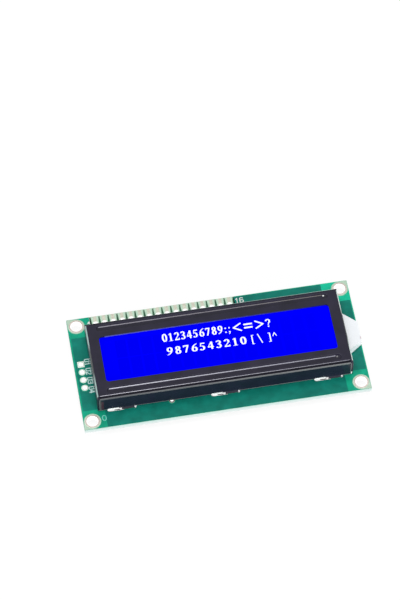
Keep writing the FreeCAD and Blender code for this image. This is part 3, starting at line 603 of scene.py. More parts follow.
# The bezel's painted highlights, reflections and dark bands, some of them also bare sheared steel,
# each named by its number in the list
HIGHLIGHT_MATERIALS = [
    make_rubbed("bright_highlight", (0.58, 0.58, 0.66), (0.26, 0.26, 0.32)),
    # Partly bare sheared steel, partly painted highlight and painted light
    make_plastic("bright_steel_and_highlight", (0.88, 0.93, 0.93), 0.4, 0.3, 0.002, 0.05),
    make_end_edge("left_bend_highlight", (0.36, 0.5, 0.48)),
    make_end_edge("right_bend_highlight", (0.8, 0.96, 0.92)),
    # Partly bare sheared steel at the wall's foot, elsewhere painted highlight
    make_rubbed("dull_steel_and_highlight", (0.14, 0.14, 0.155), (0.22, 0.22, 0.23)),
    make_rubbed("faint_highlight", (0.27, 0.26, 0.31), (0.12, 0.11, 0.11)),
    # A painted dark reflection band on the bends
    make_plastic("dark_reflection", (0.007, 0.007, 0.012), 0.6, 0.4, 0.001, 0.1,
                 Specular_IOR_Level=0.1),
    make_plastic("rosy_highlight", (0.05, 0.008, 0.026), 0.4, 0.3, 0.001, 0.15),
    make_plastic("dim_highlight", (0.075, 0.066, 0.075), 0.4, 0.3, 0.001, 0.15),
    # Painted reflection of the board on the far bend
    make_rubbed("far_bend_reflection", (0.05, 0.06, 0.06), (0.36, 0.6, 0.56)),
    # Bare steel at the window's cut edge, with a painted highlight stronger at the left
    make_rubbed("window_edge_highlight", (0.15, 0.16, 0.36), (0.02, 0.02, 0.09)),
]
(BRIGHT_HIGHLIGHT, BRIGHT_STEEL_AND_HIGHLIGHT, LEFT_BEND_HIGHLIGHT, RIGHT_BEND_HIGHLIGHT, DULL_STEEL_AND_HIGHLIGHT, FAINT_HIGHLIGHT, DARK_REFLECTION, ROSY_HIGHLIGHT, DIM_HIGHLIGHT,
 FAR_BEND_REFLECTION, CUT_EDGE_AND_HIGHLIGHT) = range(len(HIGHLIGHT_MATERIALS))
INK_WHITE = make_plastic("white_ink", (0.93, 0.96, 0.95), 0.6, 0.1, 0.004, 0.03)
INK_MINT = make_plastic("thin_ink", (0.68, 0.94, 0.90), 0.6, 0.1, 0.004, 0.04)
INK_FAINT = make_plastic("faint_ink", (0.16, 0.62, 0.52), 0.5, 0.2, 0.002, 0.15)
GLYPH_WHITE = make_plastic("lit_segments", (0.82, 0.84, 0.9), 0.5, 0.3, 0.003, 0.04,
                           Emission_Color=(0.86, 0.88, 1.0, 1.0), Emission_Strength=0.32)
PALE_LAMINATE = make_plastic("bare_laminate", (0.50, 0.68, 0.53), 0.55, 0.2, 0.008, 0.08)
EPOXY = make_epoxy()
CERAMIC = make_plastic("chip_ceramic", (0.72, 0.71, 0.67), 0.5, 0.06, 0.003, 0.05)
OVERCOAT = make_plastic("chip_overcoat", (0.02, 0.02, 0.024), 0.28, 0.05, 0.003, 0.2)

# CAD nodes, each group with its material
NODE_MATERIALS = (
    ("pcb", make_board()),
    ("mounting_rings", make_tin("ring_tin", (0.60, 0.52, 0.47), 0.7, ring_tint)),
    ("header_pads", make_tin("edge_pad_tin", (0.66, 0.65, 0.54), 0.6, pad_tint)),
    # Painted sheen: the side pads' tin is whitened and tinted mint by the board's reflected green
    ("side_pads", make_tin("side_pad_tin_painted_sheen", (0.84, 0.93, 0.86), 0.4)),
    ("led_pads led_leads led_solder via_rings", TINNED),
    ("bezel_ground_pads resistor_pads resistor_solder", TINNED),
    ("bezel", make_paint()),
    ("front_polarizer", make_display()),
    ("rear_polarizer diffuser_sheet reflector_sheet",
     make_plastic("white_film", (0.78, 0.79, 0.8), 0.4, 0.2, 0.003, 0.03)),
    ("light_guide", make_milky()),
    ("backlight_led", make_plastic("lamp_case", (0.74, 0.72, 0.66), 0.4, 0.2, 0.006, 0.05)),
    ("front_glass rear_glass", make_glass()),
    ("cell_seal", make_plastic("cell_resin", (0.2, 0.19, 0.17), 0.45, 0.2, 0.006)),
    ("near_contact_strip far_contact_strip", make_strip()),
    ("controller_blob driver_blob", EPOXY),
    ("controller_die driver_die",
     make_plastic("silicon_die", (0.10, 0.10, 0.12), 0.2, 0.1, 0.002, 0.1, Metallic=0.4)),
)
for nodes, material in NODE_MATERIALS:
    for node in nodes.split():
        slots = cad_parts[node].data.materials
        slots.clear()
        slots.append(material)


# ---- Front of the board

# Half width and place along Y of the darker wedges between the header pads, inside to outside
FINGER = ((0.31, HEADER_FOOT), (0.3, 16.0), (0.12, 17.8))
# Corners without copper: left, low, right, high
BARE_CORNERS = (
    (-40.5, 11.7, -33.5, 18.5), (32.4, 11.4, 40.5, 18.5),
    (-40.5, -18.5, -33.6, -12.0), (33.4, -18.5, 40.5, -11.6),
)
# How far the copper stops short of the board's left, near, right and far edge
COPPER_INSET = (0.45, 0.1, 0.3, 0.2)
# Places that the copper keeps clear of, and how far
CLEARANCES = ((SIDE_COLUMN, 1.22), (VIAS, 1.15), (LAMP_PADS, 1.0))
# Outer and inner radius of the bare laminate round a mounting ring
RING_OPENING = 2.38
RING_EDGE = 1.95
# Widths at a slot: where the copper ends, and the outside and inside of its white rim of painted
# light
SLOT_CLEAR, RIM_OUTSIDE, RIM_INSIDE = 1.5, 1.46, 1.2
# The header's end numbers and those of the side column: text, middle, height, line width, turn
END_LABELS = (("1", -33.75, 15.6, 1.6, 0.36), (str(HEADER_COUNT), 8.95, 16.45, 1.5, 0.28))
SIDE_LABELS = [(f"0{i}", -36.2, 6.5 - 3.0 * i, 1.3, 0.27, -90) for i in range(1, 5)]
# The faint ring beside the near left mounting hole
MARK_ENDS = ((-34.15, -14.7), (-34.15, -15.3))


def slot_outline(x, y, width):
    return capsule((x - SLOT_REACH, y), (x + SLOT_REACH, y), width)


def finger_outlines():
    """The darker wedges between the header pads, wide inside and narrow at the board's edge."""
    return [[(x + half, y) for half, y in FINGER] + [(x - half, y) for half, y in reversed(FINGER)]
            for x in GAP_X]


def build_front_copper():
    """The copper area under the mask: it keeps clear of the corners, the pads and the slots."""
    left, near, right, far = COPPER_INSET
    area = rectangle(BOARD_LOW.x + left, BOARD_LOW.y + near,
                     BOARD_HIGH.x - right, BOARD_HIGH.y - far)
    holes = [rectangle(*corner) for corner in BARE_CORNERS]
    holes.append(rectangle(GAP_X[0], HEADER_FOOT, GAP_X[-1], 18.5))
    holes += [circle(x, y, reach) for places, reach in CLEARANCES for x, y in places]
    holes += [slot_outline(x, y, SLOT_CLEAR) for x, y in SLOTS]
    mesh = bmesh.new()
    add_layer(mesh, [area], FRONT, FRONT + ETCH, holes)
    add_layer(mesh, finger_outlines(), FRONT, FRONT + ETCH, material=1)
    new_piece("front_copper", mesh, [POUR, DARK_WEDGES])


def build_openings():
    """Bare laminate round the mounting rings and beside the header pads, and white slot rims of
    painted light.
    """
    mesh = bmesh.new()
    for sx in (-1, 1):
        for sy in (-1, 1):
            x, y = sx * MOUNT_X, sy * MOUNT_Y
            outer = [point for point in circle(x, y, RING_OPENING, 64)
                     if (point[0] - x) * sx < 1e-6 or (point[1] - y) * sy < 1e-6]
            outer.append((sx * (BOARD_HIGH.x - 0.03), sy * (BOARD_HIGH.y - 0.03)))
            outer.sort(key=lambda point: math.atan2(point[1] - y, point[0] - x))
            for low in (FRONT, BACK - OPENING):
                add_layer(mesh, [outer], low, low + OPENING, [circle(x, y, RING_EDGE, 64)])
    half = FINGER[0][0]
    gaps = [rectangle(x - half, HEADER_FOOT, x + half, BOARD_HIGH.y) for x in GAP_X]
    add_layer(mesh, gaps, FRONT, FRONT + OPENING)
    # Painted light: white rims round the slots, in the white ink's colour
    for x, y in SLOTS:
        beside_lug = rectangle(x + 0.5, y - 1, x + 3.5, y + 1)
        add_layer(mesh, [slot_outline(x, y, RIM_OUTSIDE)], FRONT, FRONT + OPENING,
                  [slot_outline(x, y, RIM_INSIDE), beside_lug], material=1)
    new_piece("mask_openings", mesh, [PALE_LAMINATE, INK_WHITE])


def build_front_ink():
    """The header's two end numbers, the numbers of the side column and a faint ring."""
    mesh = bmesh.new()
    for i, labels in enumerate((END_LABELS, SIDE_LABELS)):
        lines = [line for label in labels for line in number(*label)]
        add_layer(mesh, lines, FRONT, FRONT + INK, material=i)
    outer, inner = (capsule(*MARK_ENDS, width) for width in (1.25, 0.7))
    add_layer(mesh, [outer], FRONT + ETCH, FRONT + ETCH + INK, [inner], material=2)
    new_piece("front_ink", mesh, [INK_WHITE, INK_MINT, INK_FAINT])


# ---- Painted highlights and reflections on the bezel

# Lines of painted highlight, dark reflection and reflection of the board along the near and far
# bends: side, first and last tilt, steps, left and right end, look
LONG_BENDS = (
    (-1, 10, 18, 2, -34.7, 34.6, BRIGHT_HIGHLIGHT), (-1, 19, 66, 6, -34.9, 34.9, DARK_REFLECTION),
    (1, 10, 28, 6, -34.6, 34.6, DARK_REFLECTION), (1, 29, 58, 6, -34.4, 34.6, FAR_BEND_REFLECTION),
)
# Lines of painted highlight along the end bends: side, first and last tilt, look
END_BENDS = ((-1, 26, 60, LEFT_BEND_HIGHLIGHT), (1, 38, 90, RIGHT_BEND_HIGHLIGHT))
END_BEND_REACH = (-12.2, 11.0)
# Height of the dull line along the foot of the near wall, partly bare sheared steel and partly
# painted highlight
FOOT_LINE = 0.24
# Patches on the near wall, painted highlights at its corners and painted light in the right
# corner's slit: left and right end, lower and upper edge, look
WALL_PATCHES = (
    (-35.1, -34.91, WALL_FOOT + FOOT_LINE, 9.2, DULL_STEEL_AND_HIGHLIGHT),
    (-34.89, -34.55, WALL_FOOT + FOOT_LINE, 8.9, DIM_HIGHLIGHT),
    (-34.55, -33.9, WALL_FOOT + 0.6, 8.0, ROSY_HIGHLIGHT),
    (34.95, 35.12, WALL_FOOT + FOOT_LINE, 9.2, DULL_STEEL_AND_HIGHLIGHT),
    (35.12, 35.42, WALL_FOOT, WALL_FOOT + 1.2, BRIGHT_STEEL_AND_HIGHLIGHT),
)
# Bright steel beside each lug, partly bare sheared steel and partly painted light: left and right
# end from its middle, lower and upper edge
LUG_GLINTS = ((-3.9, -0.9, WALL_FOOT, WALL_FOOT + 0.35), (3.5, 3.7, FRONT - 0.3, WALL_FOOT + 0.1))


def add_ribbon(mesh, profile, start, end, material, along="x"):
    """A thin skin along X or Y over a cross-section of points and normals on a surface."""
    rows = []
    for place in (start, end):
        for rise in (0.0, SKIN):
            row = []
            for u, z, normal_u, normal_z in profile:
                a, b = u + normal_u * rise, z + normal_z * rise
                point = (place, a, b) if along == "x" else (a, place, b)
                row.append(mesh.verts.new(Vector(point) * MM))
            rows.append(row)
    under, over, far_under, far_over = rows
    pairs = ((under, far_under), (over, far_over), (under, over), (far_under, far_over))
    made = [mesh.faces.new((a[i], a[i + 1], b[i + 1], b[i]))
            for a, b in pairs for i in range(len(profile) - 1)]
    made += [mesh.faces.new((under[i], over[i], far_over[i], far_under[i])) for i in (0, -1)]
    for face in made:
        face.material_index = material


def add_panel(mesh, left, right, low, high, material):
    """A thin upright patch on the near wall of the bezel."""
    profile = [(BEZEL_LOW.y, z, -1.0, 0.0) for z in (low, high)]
    add_ribbon(mesh, profile, left, right, material)


def bend_profile(edge, side, first, last, steps=6):
    """The bezel's outer bend between two tilts in degrees, at an edge on the low or high side."""
    middle = edge - side * BEND_RADIUS
    profile = []
    for i in range(steps + 1):
        tilt = math.radians(first + (last - first) * i / steps)
        sine, cosine = math.sin(tilt), math.cos(tilt)
        profile.append((middle + side * BEND_RADIUS * sine,
                        BEZEL_HIGH.z - BEND_RADIUS + BEND_RADIUS * cosine, side * sine, cosine))
    return profile


def bead_profile(foot):
    """The fillet at the foot of a bead's flank."""
    profile = [(foot - BEAD_FILLET - 0.09, BEAD_FLOOR, 0.0, 1.0)]
    for i in range(6):
        tilt = math.radians(14 * i)
        sine, cosine = math.sin(tilt), math.cos(tilt)
        profile.append((foot - BEAD_FILLET * (1 - sine), BEAD_FLOOR + BEAD_FILLET * (1 - cosine),
                        -sine, cosine))
    return profile


def build_rubbed_edges():
    """Thin skins of painted highlight and reflection on the bezel's bends and beads, and of bare
    steel with painted highlight along its sheared edges.
    """
    mesh = bmesh.new()
    # Painted highlights on the fillets of the two beads, and a painted highlight spot at each
    # bead's end
    for line, highlight, spot in zip(BEAD_LINES, (BRIGHT_HIGHLIGHT, FAINT_HIGHLIGHT), (DULL_STEEL_AND_HIGHLIGHT, BRIGHT_STEEL_AND_HIGHLIGHT)):
        foot = line + BEAD_FLANK
        add_ribbon(mesh, bead_profile(foot), -BEAD_REACH, BEAD_REACH - 0.8, highlight)
        add_layer(mesh, [circle(BEAD_REACH - 0.4, foot - 0.36, 0.26, 16)],
                  BEAD_FLOOR, BEAD_FLOOR + SKIN, material=spot)
    for side, first, last, steps, left, right, look in LONG_BENDS:
        edge = BEZEL_LOW.y if side < 0 else BEZEL_HIGH.y
        add_ribbon(mesh, bend_profile(edge, side, first, last, steps), left, right, look)
    for side, first, last, look in END_BENDS:
        edge = BEZEL_LOW.x if side < 0 else BEZEL_HIGH.x
        add_ribbon(mesh, bend_profile(edge, side, first, last), *END_BEND_REACH, look, "y")
    # Painted highlight at the end of the near bend and the top of the near wall
    below_bend = bend_profile(BEZEL_LOW.y, -1, 68, 90) + [(BEZEL_LOW.y, 8.95, -1.0, 0.0)]
    add_ribbon(mesh, below_bend, -34.8, 34.8, DULL_STEEL_AND_HIGHLIGHT)
    # The window's far cut edge: bare steel with a painted highlight
    window_edge_highlight = [(WINDOW_FAR, z, -1.0, 0.0) for z in (9.72, 10.19)]
    add_ribbon(mesh, window_edge_highlight, -30.6, 31.3, CUT_EDGE_AND_HIGHLIGHT)
    beside_lugs = [x + reach for x in LUG_X for reach in (-4.0, 3.7)]
    ends = [BEZEL_LOW.x + 0.2, *beside_lugs, BEZEL_HIGH.x - 0.2]
    for start, end in zip(ends[::2], ends[1::2]):
        add_panel(mesh, start, end, WALL_FOOT, WALL_FOOT + FOOT_LINE, DULL_STEEL_AND_HIGHLIGHT)
    for patch in WALL_PATCHES:
        add_panel(mesh, *patch)
    for x in LUG_X:
        for left, right, low, high in LUG_GLINTS:
            add_panel(mesh, x + left, x + right, low, high, BRIGHT_STEEL_AND_HIGHLIGHT)
    new_piece("bezel_highlights", mesh, HIGHLIGHT_MATERIALS)


# ---- Back of the board, drawn as it is seen from behind

# Round jumpers: middle and radius of the printed ring
JUMPERS = (
    (-36.8, 3.7, 1.15), (-34.0, 3.8, 1.15), (-28.0, 2.2, 1.05), (-26.0, 2.1, 1.05),
    (-12.2, 8.9, 1.2), (-9.7, 8.9, 1.2), (-18.3, 6.3, 1.1), (-18.3, 4.3, 1.1), (-18.3, 2.4, 1.1),
    (-35.4, -10.2, 1.3), (28.7, -2.2, 1.2), (30.9, -2.3, 1.1),
)
# Printed boxes: left, low, right, high
PRINTED_BOXES = (
    (-36.9, -2.1, -31.8, 0.2), (26.9, 0.4, 30.1, 5.8), (31.5, -5.6, 35.0, 4.7),
    (36.6, -6.0, 39.3, 4.4), (34.5, 5.5, 37.9, 7.7), (-22.9, 1.8, -19.3, 10.6),
)
# The bold outline of a part with eight leads, which has a notch in its top
PART_BOX = (-26.5, -4.7, -23.5, -0.2)
# Printed outlines with round corners: middle, half width, half height
ROUND_BOXES = (
    (-30.4, -0.6, 1.35, 1.15), (-30.4, -4.4, 1.45, 1.25), (-27.1, -6.9, 1.4, 1.25),
    (-23.1, -6.9, 1.35, 1.25), (-20.3, -5.8, 1.25, 1.15), (-20.3, -8.3, 1.25, 1.15),
)
# Large bare lands: middle, half width, half height
LARGE_LANDS = (
    (-30.4, -0.6, 0.75, 0.65), (-30.4, -4.4, 0.75, 0.75), (-27.1, -6.9, 0.75, 0.75),
    (-23.1, -6.9, 0.8, 0.8), (-20.3, -5.8, 0.7, 0.7), (-20.3, -8.3, 0.7, 0.7),
    (-31.2, 5.4, 0.45, 0.4), (-30.4, 3.3, 0.45, 0.4), (-32.3, 3.2, 0.45, 0.4),
    (-27.0, 6.3, 0.6, 0.4), (-27.0, 4.3, 0.6, 0.4),
)
# Rows of small bare lands: places along X, places along Y, half width, half height
LAND_ROWS = (
    ((-27.875, -22.025), (-0.3, -1.43, -2.7, -3.97), 0.875, 0.32),
    ((-21.9, -20.2), (9.9, 8.2, 6.4, 4.5, 2.7), 0.4, 0.45),
    ((27.7, 29.3), (2.85,), 0.45, 0.45),
    ((35.4, 37.0), (6.6,), 0.45, 0.55),
)
# Round test lands: middle
TEST_LANDS = (
    (-38.7, -10.2), (38.3, 10.2), (-33.0, 7.9), (-24.4, 11.4), (20.3, 9.6), (22.6, -9.4),
)
# Bundles of tracks: number of tracks, then their path as x, y, x, y ...
BUNDLES = (
    (4, 20.2, 0.5, 23.0, 3.3, 23.0, 8.0, 26.0, 8.0),
    (5, 20.4, -3.2, 25.4, -3.2, 25.4, -7.4, 35.6, -7.4),
    (4, 6.8, 0.4, 2.5, 4.7, -3.2, 4.7, -7.4, 8.9),
    (5, 7.0, -3.6, 4.0, -6.6, -4.0, -6.6),
    (5, -4.0, -6.6, -6.8, -6.6, -8.6, -5.0),
    (3, -17.9, -1.4, -19.5, -1.4),
    (4, 11.0, 5.3, 11.0, 9.6, 9.0, 12.2),
    (5, 15.4, 5.3, 15.4, 8.3, 18.6, 11.5, 23.6, 11.5),
    (6, 10.6, -8.0, 10.6, -11.0, 13.6, -14.6, 34.0, -14.6),
    (4, 16.5, -8.0, 18.4, -10.2, 23.6, -10.2),
    (5, -13.4, -6.2, -13.4, -8.2, -16.0, -10.8, -23.0, -10.8),
    (4, -10.4, -5.6, -8.0, -9.0, -8.0, -15.6, -4.8, -15.6, 8.8, -15.6),
    (3, -37.8, -5.6, -37.8, 8.6, -35.2, 11.2, -33.6, 11.2),
    (3, -35.0, 13.9, -10.6, 13.9),
    (4, -34.0, -14.6, -9.6, -14.6),
)
TRACK_PITCH = 0.46
TRACK_WIDTH = 0.22
# Circles round the domes that tracks keep out of: middle and radius
DOME_CLEAR = ((-13.0, -1.4, 4.5), (13.5, -1.2, 6.9))


def build_back_ink():
    """Printed outlines round the parts, the pads and the jumpers, and the numbers of the header."""
    thin, bold, broad = 0.16, 0.24, 0.42
    shapes = []
    for i, x in enumerate(HEADER_X, 1):
        shapes += number(str(i), -x, 13.3, 0.95, 0.15)
    for text, x in (("1", 34.1), (str(HEADER_COUNT), -8.6)):
        shapes += number(text, x, 16.35, 1.5, 0.26)
    for x, y, radius in JUMPERS:
        shapes += stroke(arc(x, y, radius, radius, 0, 360, 28), thin)
    for box in PRINTED_BOXES:
        shapes += frame_lines(*box, thin)
    for box in ROUND_BOXES:
        outline = pad(*box, 0.5)
        shapes += stroke(outline + outline[:1], thin)
    shapes += frame_lines(*PART_BOX, bold)
    shapes += stroke(arc(-25.0, PART_BOX[3], 0.5, 0.5, 180, 360, 8), bold)
    shapes += stroke(arc(-13.3, -0.9, 4.95, 4.95, 20, 200, 30), broad)
    mesh = bmesh.new()
    add_layer(mesh, shapes, BACK - INK, BACK)
    new_piece("back_ink", mesh, [INK_WHITE], mirror=True)


def build_bare_lands():
    """Tinned lands for the parts that this version leaves off."""
    solids = [pad(*land, 0.15) for land in LARGE_LANDS]
    solids += [pad(x, y, half_width, half_height, 0.12)
               for xs, ys, half_width, half_height in LAND_ROWS for y in ys for x in xs]
    for x, y, radius in JUMPERS:
        inner = radius - 0.33
        solids += [arc(x, y, inner, inner, start, start + 170) for start in (95, 275)]
    solids.append(circle(-32.3, 16.9, 0.65))
    solids += [circle(x, y, 0.42, 20) for x, y in TEST_LANDS]
    mesh = bmesh.new()
    add_layer(mesh, solids, BACK - TIN, BACK)
    new_piece("bare_lands", mesh, [TINNED], mirror=True)


def bundle(path, count):
    """Side by side copies of a path, each shifted across its own run."""
    turns = [math.atan2(b[1] - a[1], b[0] - a[0]) for a, b in zip(path, path[1:])]
    tracks = []
    for i in range(count):
        shift = (i - (count - 1) / 2) * TRACK_PITCH
        points = []
        for (x, y), before, after in zip(path, turns[:1] + turns, turns + turns[-1:]):
            middle = (before + after) / 2
            reach = shift / max(math.cos((before - after) / 2), 0.3)
            points.append((x - math.sin(middle) * reach, y + math.cos(middle) * reach))
        tracks.append(points)
    return tracks


def build_tracks():
    """The tracks that fan out between the two domes, the header and the small parts."""
    shapes = []
    for count, *run in BUNDLES:
        for track in bundle(list(zip(run[::2], run[1::2])), count):
            shapes += stroke(track, TRACK_WIDTH)
    for i, x in enumerate(HEADER_X):
        aside = 0.5 if i % 2 else -0.5
        shapes += stroke([(-x, 14.6), (-x, 12.5), (-x + aside, 12.0)], 0.24)
    keep_out = [pad(-x, y, 4.3, 2.4, 0.6) for x in LUG_X for y in (-11.3, 10.2)]
    keep_out += [circle(*clear, 48) for clear in DOME_CLEAR]
    mesh = bmesh.new()
    add_layer(mesh, shapes, BACK - ETCH, BACK, keep_out)
    new_piece("back_tracks", mesh, [TRACE], mirror=True)


# ---- Encapsulant domes

def build_dome(node, name, seed):
    """A poured dome: a flat crown, a full shoulder and an outline that isn't quite round."""
    low, high = box_mm(node)
    middle = (low + high) / 2
    radius = (high.x - low.x) / 2
    height = high.z - low.z
    rings, sides = 22, 96
    mesh = bmesh.new()
    crown = mesh.verts.new((middle.x * MM, middle.y * MM, low.z * MM))
    loops = []
    for i in range(1, rings + 1):
        share = math.sin(math.pi / 2 * i / rings) ** 0.9
        loop = []
        for j in range(sides):
            angle = math.tau * j / sides
            around = Vector((math.cos(angle), math.sin(angle), seed))
            wobble = 0.982 + 0.016 * noise.noise(around * 1.3) + 0.008 * math.cos(3 * angle + seed)
            reach = radius * min(wobble, 1.0) * share
            spot = Vector((around.x * reach, around.y * reach, seed * 7.0))
            fall = (1 - share ** 3.4) ** 0.55
            dimple = 0.03 * noise.noise(spot * 0.45) * fall
            drop = height * fall * 0.98 - dimple * height
            loop.append(mesh.verts.new(((middle.x + around.x * reach) * MM,
                                        (middle.y + around.y * reach) * MM,
                                        (high.z - min(drop, height)) * MM)))
        loops.append(loop)
    for j in range(sides):
        k = (j + 1) % sides
        mesh.faces.new((crown, loops[0][j], loops[0][k]))
        for inner, outer in zip(loops, loops[1:]):
            mesh.faces.new((inner[j], outer[j], outer[k], inner[k]))
    mesh.faces.new(loops[-1])
    piece = new_piece(name, mesh, [EPOXY])
    piece.data.shade_smooth()
    piece.data.set_sharp_from_angle(angle=math.radians(60))
    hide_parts(node)


# ---- Chip resistors

CAP_LENGTH = 0.4
# How far the ceramic stands back behind the tin, and the overcoat at its sides
CAP_SKIN = 0.03
OVERCOAT_EDGE = 0.09


def build_chip(node):
    """A chip resistor: a white ceramic block, a dark overcoat and two tinned ends."""
    low, high = box_mm(node)
    left, right = low.x + CAP_LENGTH, high.x - CAP_LENGTH
    overcoat_top = low.z + 0.09
    mesh = bmesh.new()
    add_layer(mesh, [rectangle(left, low.y + CAP_SKIN, right, high.y - CAP_SKIN)],
              overcoat_top, high.z - CAP_SKIN)
    add_layer(mesh, [rounded(left, low.y + OVERCOAT_EDGE, right, high.y - OVERCOAT_EDGE, 0.05)],
              low.z + 0.04, overcoat_top, material=1)
    for start, end in ((low.x, left), (right, high.x)):
        add_layer(mesh, [rounded(start, low.y, end, high.y, 0.09)], low.z, high.z, material=2)
    piece = new_piece(node.replace("resistor", "chip"), mesh, [CERAMIC, OVERCOAT, TINNED])
    bevel = piece.modifiers.new("worn_edges", "BEVEL")
    bevel.width = 0.035 * MM
    bevel.segments = 2
    bevel.limit_method = "ANGLE"
    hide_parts(node)


# ---- Characters on the display

# Half width and half height of the pen's nib, for a letter height of 1
NIB_WIDTH = 0.085
NIB_HEIGHT = 0.03


def trail(path, nib=NIB_WIDTH):
    """The area that the nib covers along a path, one convex outline for each run."""
    outlines = []
    for ends in zip(path, path[1:]):
        points = [Vector(p) for end in ends for p in arc(*end, nib, NIB_HEIGHT, 0, 360, 16)[:-1]]
        outlines.append([tuple(points[i]) for i in geometry.convex_hull_2d(points)])
    return outlines


def dot(x, y, radius=0.085):
    return [circle(x, y, radius, 18)]


def bar(*box):
    return [rectangle(*box)]


# Signs for a letter height of 1, with the left side at 0
HOOK_TWO = arc(0.26, 0.69, 0.17, 0.27, 160, -25, 14)
HOOK_ASKING = arc(0.28, 0.73, 0.19, 0.235, 165, -60, 16)
SIX = (trail(arc(0.28, 0.3, 0.18, 0.27, 0, 360, 24))
       + trail([(0.1, 0.3), (0.12, 0.5), (0.2, 0.72), (0.34, 0.88), (0.48, 0.96)], 0.07))
COLON = dot(0.12, 0.1) + dot(0.12, 0.6)
BRACKET_ARMS = bar(0.0, 0.98, 0.28, 1.04) + bar(0.0, -0.16, 0.28, -0.1)
SHAPES = {
    "0": trail(arc(0.28, 0.5, 0.19, 0.465, 0, 360, 28)),
    "1": (trail([(0.28, 0.04), (0.28, 0.95)]) + trail([(0.11, 0.82), (0.29, 0.95)], 0.03)
          + bar(0.08, 0.0, 0.48, 0.05)),
    "2": (trail(HOOK_TWO) + trail([HOOK_TWO[-1], (0.1, 0.12)], 0.05)
          + bar(0.03, 0.0, 0.5, 0.14) + bar(0.46, 0.0, 0.53, 0.24)),
    "3": (trail(arc(0.25, 0.75, 0.15, 0.22, 155, -90, 14))
          + trail(arc(0.23, 0.27, 0.19, 0.24, 90, -140, 14)) + dot(0.1, 0.12, 0.075)),
    "4": (trail([(0.37, 0.03), (0.37, 0.94)]) + trail([(0.33, 0.95), (0.05, 0.33)], 0.04)
          + bar(0.01, 0.24, 0.53, 0.36)),
    "5": (bar(0.13, 0.84, 0.49, 0.97) + trail([(0.15, 0.93), (0.11, 0.55)], 0.04)
          + trail(arc(0.2, 0.31, 0.2, 0.27, 112, -130, 16)) + dot(0.1, 0.12, 0.075)),
    "6": SIX,
    "7": (bar(0.03, 0.83, 0.51, 0.97) + trail([(0.45, 0.9), (0.2, 0.04)], 0.07)
          + bar(0.03, 0.72, 0.08, 0.97)),
    "8": (trail(arc(0.28, 0.75, 0.14, 0.215, 0, 360, 22))
          + trail(arc(0.28, 0.27, 0.17, 0.24, 0, 360, 22))),
    "9": [moved(outline, 0.56, 1.0, 1.0, 180) for outline in SIX],
    ":": COLON,
    ";": COLON + trail([(0.16, 0.1), (0.13, -0.06), (0.04, -0.15)], 0.035),
    "<": stroke([(0.86, 0.95), (0.06, 0.5), (0.86, 0.05)], 0.15),
    "=": bar(0.0, 0.22, 0.93, 0.4) + bar(0.0, 0.64, 0.93, 0.82),
    ">": stroke([(0.06, 0.95), (0.86, 0.5), (0.06, 0.05)], 0.15),
    "?": trail(HOOK_ASKING) + trail([HOOK_ASKING[-1], (0.28, 0.28)], 0.05) + dot(0.28, 0.08),
    "[": bar(0.0, -0.16, 0.13, 1.04) + BRACKET_ARMS,
    "\\": stroke([(0.05, 1.05), (0.42, -0.12)], 0.11),
    "]": bar(0.15, -0.16, 0.28, 1.04) + BRACKET_ARMS,
    "^": stroke([(0.04, 0.55), (0.24, 0.95), (0.44, 0.55)], 0.09),
}

# Rows of the display: foot, height, how much its digits are widened, the digits, the left side of
# the first and their pitch, then each sign and its left side
ROWS = (
    (2.57, 2.58, 1.0, "0123456789", -15.03, 1.735,
     ((":", 2.45), (";", 3.52), ("<", 4.85), ("=", 7.93), (">", 11.1), ("?", 14.0))),
    (-1.86, 2.45, 1.28, "9876543210", -14.4, 2.28,
     (("[", 9.35), ("\\", 11.1), ("]", 14.0), ("^", 15.25))),
)


def build_characters():
    """Two rows of plain numbers and signs, standing on the front film."""
    mesh = bmesh.new()
    for foot, height, widen, digits, start, pitch, signs in ROWS:
        placed = [(digit, start + pitch * i, widen) for i, digit in enumerate(digits)]
        placed += [(sign, left, 1.0) for sign, left in signs]
        for sign, left, wide in placed:
            outlines = [moved([(x * wide, y) for x, y in outline], left, foot, height)
                        for outline in SHAPES[sign]]
            add_layer(mesh, outlines, FILM_TOP, FILM_TOP + GLYPH)
    new_piece("characters", mesh, [GLYPH_WHITE])


# ---- Room, lights and camera

# How white the floor looks, and how strongly the surroundings light the module
FLOOR_LEVEL = 0.88
WORLD_LEVEL = 0.52
# Soft boxes: name, place, width and height in metres, radiance, and whether mirrors show them
LIGHTS = (
    ("overhead", (-0.05, 0.16, 1.0), 0.9, 0.26, 3.2, True),
    ("front_fill", (0.1, -0.95, 0.33), 1.4, 0.34, 5.6, False),
    ("left_strip", (-0.95, -0.1, 0.4), 0.9, 0.3, 3.0, True),
)


def rays_seen(tree):
    """1 for rays from the camera, and for those that a mirror or glass passes on."""
    path = tree.nodes.new("ShaderNodeLightPath").outputs
    seen = path["Is Camera Ray"]
    for kind in ("Is Glossy Ray", "Is Transmission Ray"):
        seen = add_node(tree, "Math", {0: seen, 1: path[kind]}, operation="MAXIMUM")
    return seen


def build_floor():
    """A white table top that keeps the module's soft shadow."""
    mesh = bmesh.new()
    bmesh.ops.create_circle(mesh, cap_ends=True, segments=96, radius=4.0)
    shader = Shader("floor_white", (0.16, 0.16, 0.16), 0.9, Specular_IOR_Level=0.0)
    shader.glow(shader.math("MULTIPLY", rays_seen(shader.tree), FLOOR_LEVEL))
    floor = new_object("floor", mesh, [shader.material])


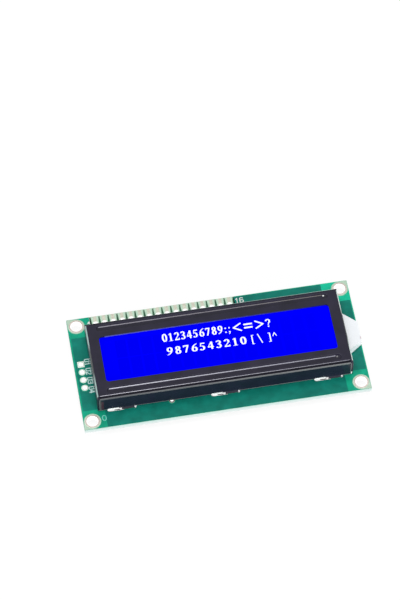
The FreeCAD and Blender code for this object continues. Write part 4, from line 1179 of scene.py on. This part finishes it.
def build_world():
    """White to the eye and in reflections, and a softer even light on the module."""
    world = bpy.data.worlds.new("studio")
    world.use_nodes = True
    bpy.context.scene.world = world
    tree = world.node_tree
    background = tree.nodes["Background"].inputs
    background["Color"].default_value = (1, 1, 1, 1)
    level = add_node(tree, "MapRange", {"Value": rays_seen(tree), "To Min": WORLD_LEVEL})
    tree.links.new(level, background["Strength"])


def add_light(name, place, width, height, radiance, mirrored):
    """A soft box that looks at the module, as bright as the given radiance all over."""
    data = bpy.data.lights.new(name, "AREA")
    data.shape = "RECTANGLE"
    data.size = width
    data.size_y = height
    data.energy = radiance * math.pi * width * height
    light = bpy.data.objects.new(name, data)
    light.location = place
    light.rotation_euler = (-Vector(place)).to_track_quat("-Z", "Y").to_euler()
    light.visible_glossy = mirrored
    bpy.context.scene.collection.objects.link(light)


def build_camera():
    """The photo's view: a long lens, ten degrees to the left and 58 degrees above the board."""
    focal_pixels = 2811.6
    picture_width = 400
    data = bpy.data.cameras.new("camera")
    data.sensor_fit = "HORIZONTAL"
    data.sensor_width = 36.0
    data.lens = focal_pixels / picture_width * data.sensor_width
    camera = bpy.data.objects.new("camera", data)
    # The directions and the place of the camera that was fitted to the board's corners and holes
    back = -Vector((0.0898, 0.5315, -0.8423)).normalized()
    right = Vector((0.9858, -0.1679, -0.0008))
    right = (right - back * right.dot(back)).normalized()
    up = back.cross(right)
    place = Vector((-72.9, -401.9, 666.1 + FRONT)) * MM
    turn = Matrix((right, up, back)).transposed().to_4x4()
    camera.matrix_world = Matrix.Translation(place) @ turn
    bpy.context.scene.collection.objects.link(camera)
    bpy.context.scene.camera = camera


build_front_copper()
build_openings()
build_front_ink()
build_rubbed_edges()
build_tracks()
build_bare_lands()
build_back_ink()
build_dome("controller_blob", "controller_dome", 1.7)
build_dome("driver_blob", "driver_dome", 4.2)
for node in sorted(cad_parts):
    if "_resistor" in node:
        build_chip(node)
build_characters()
build_floor()
build_world()
for light in LIGHTS:
    add_light(*light)
build_camera()

scene = bpy.context.scene
scene.view_settings.view_transform = "Standard"
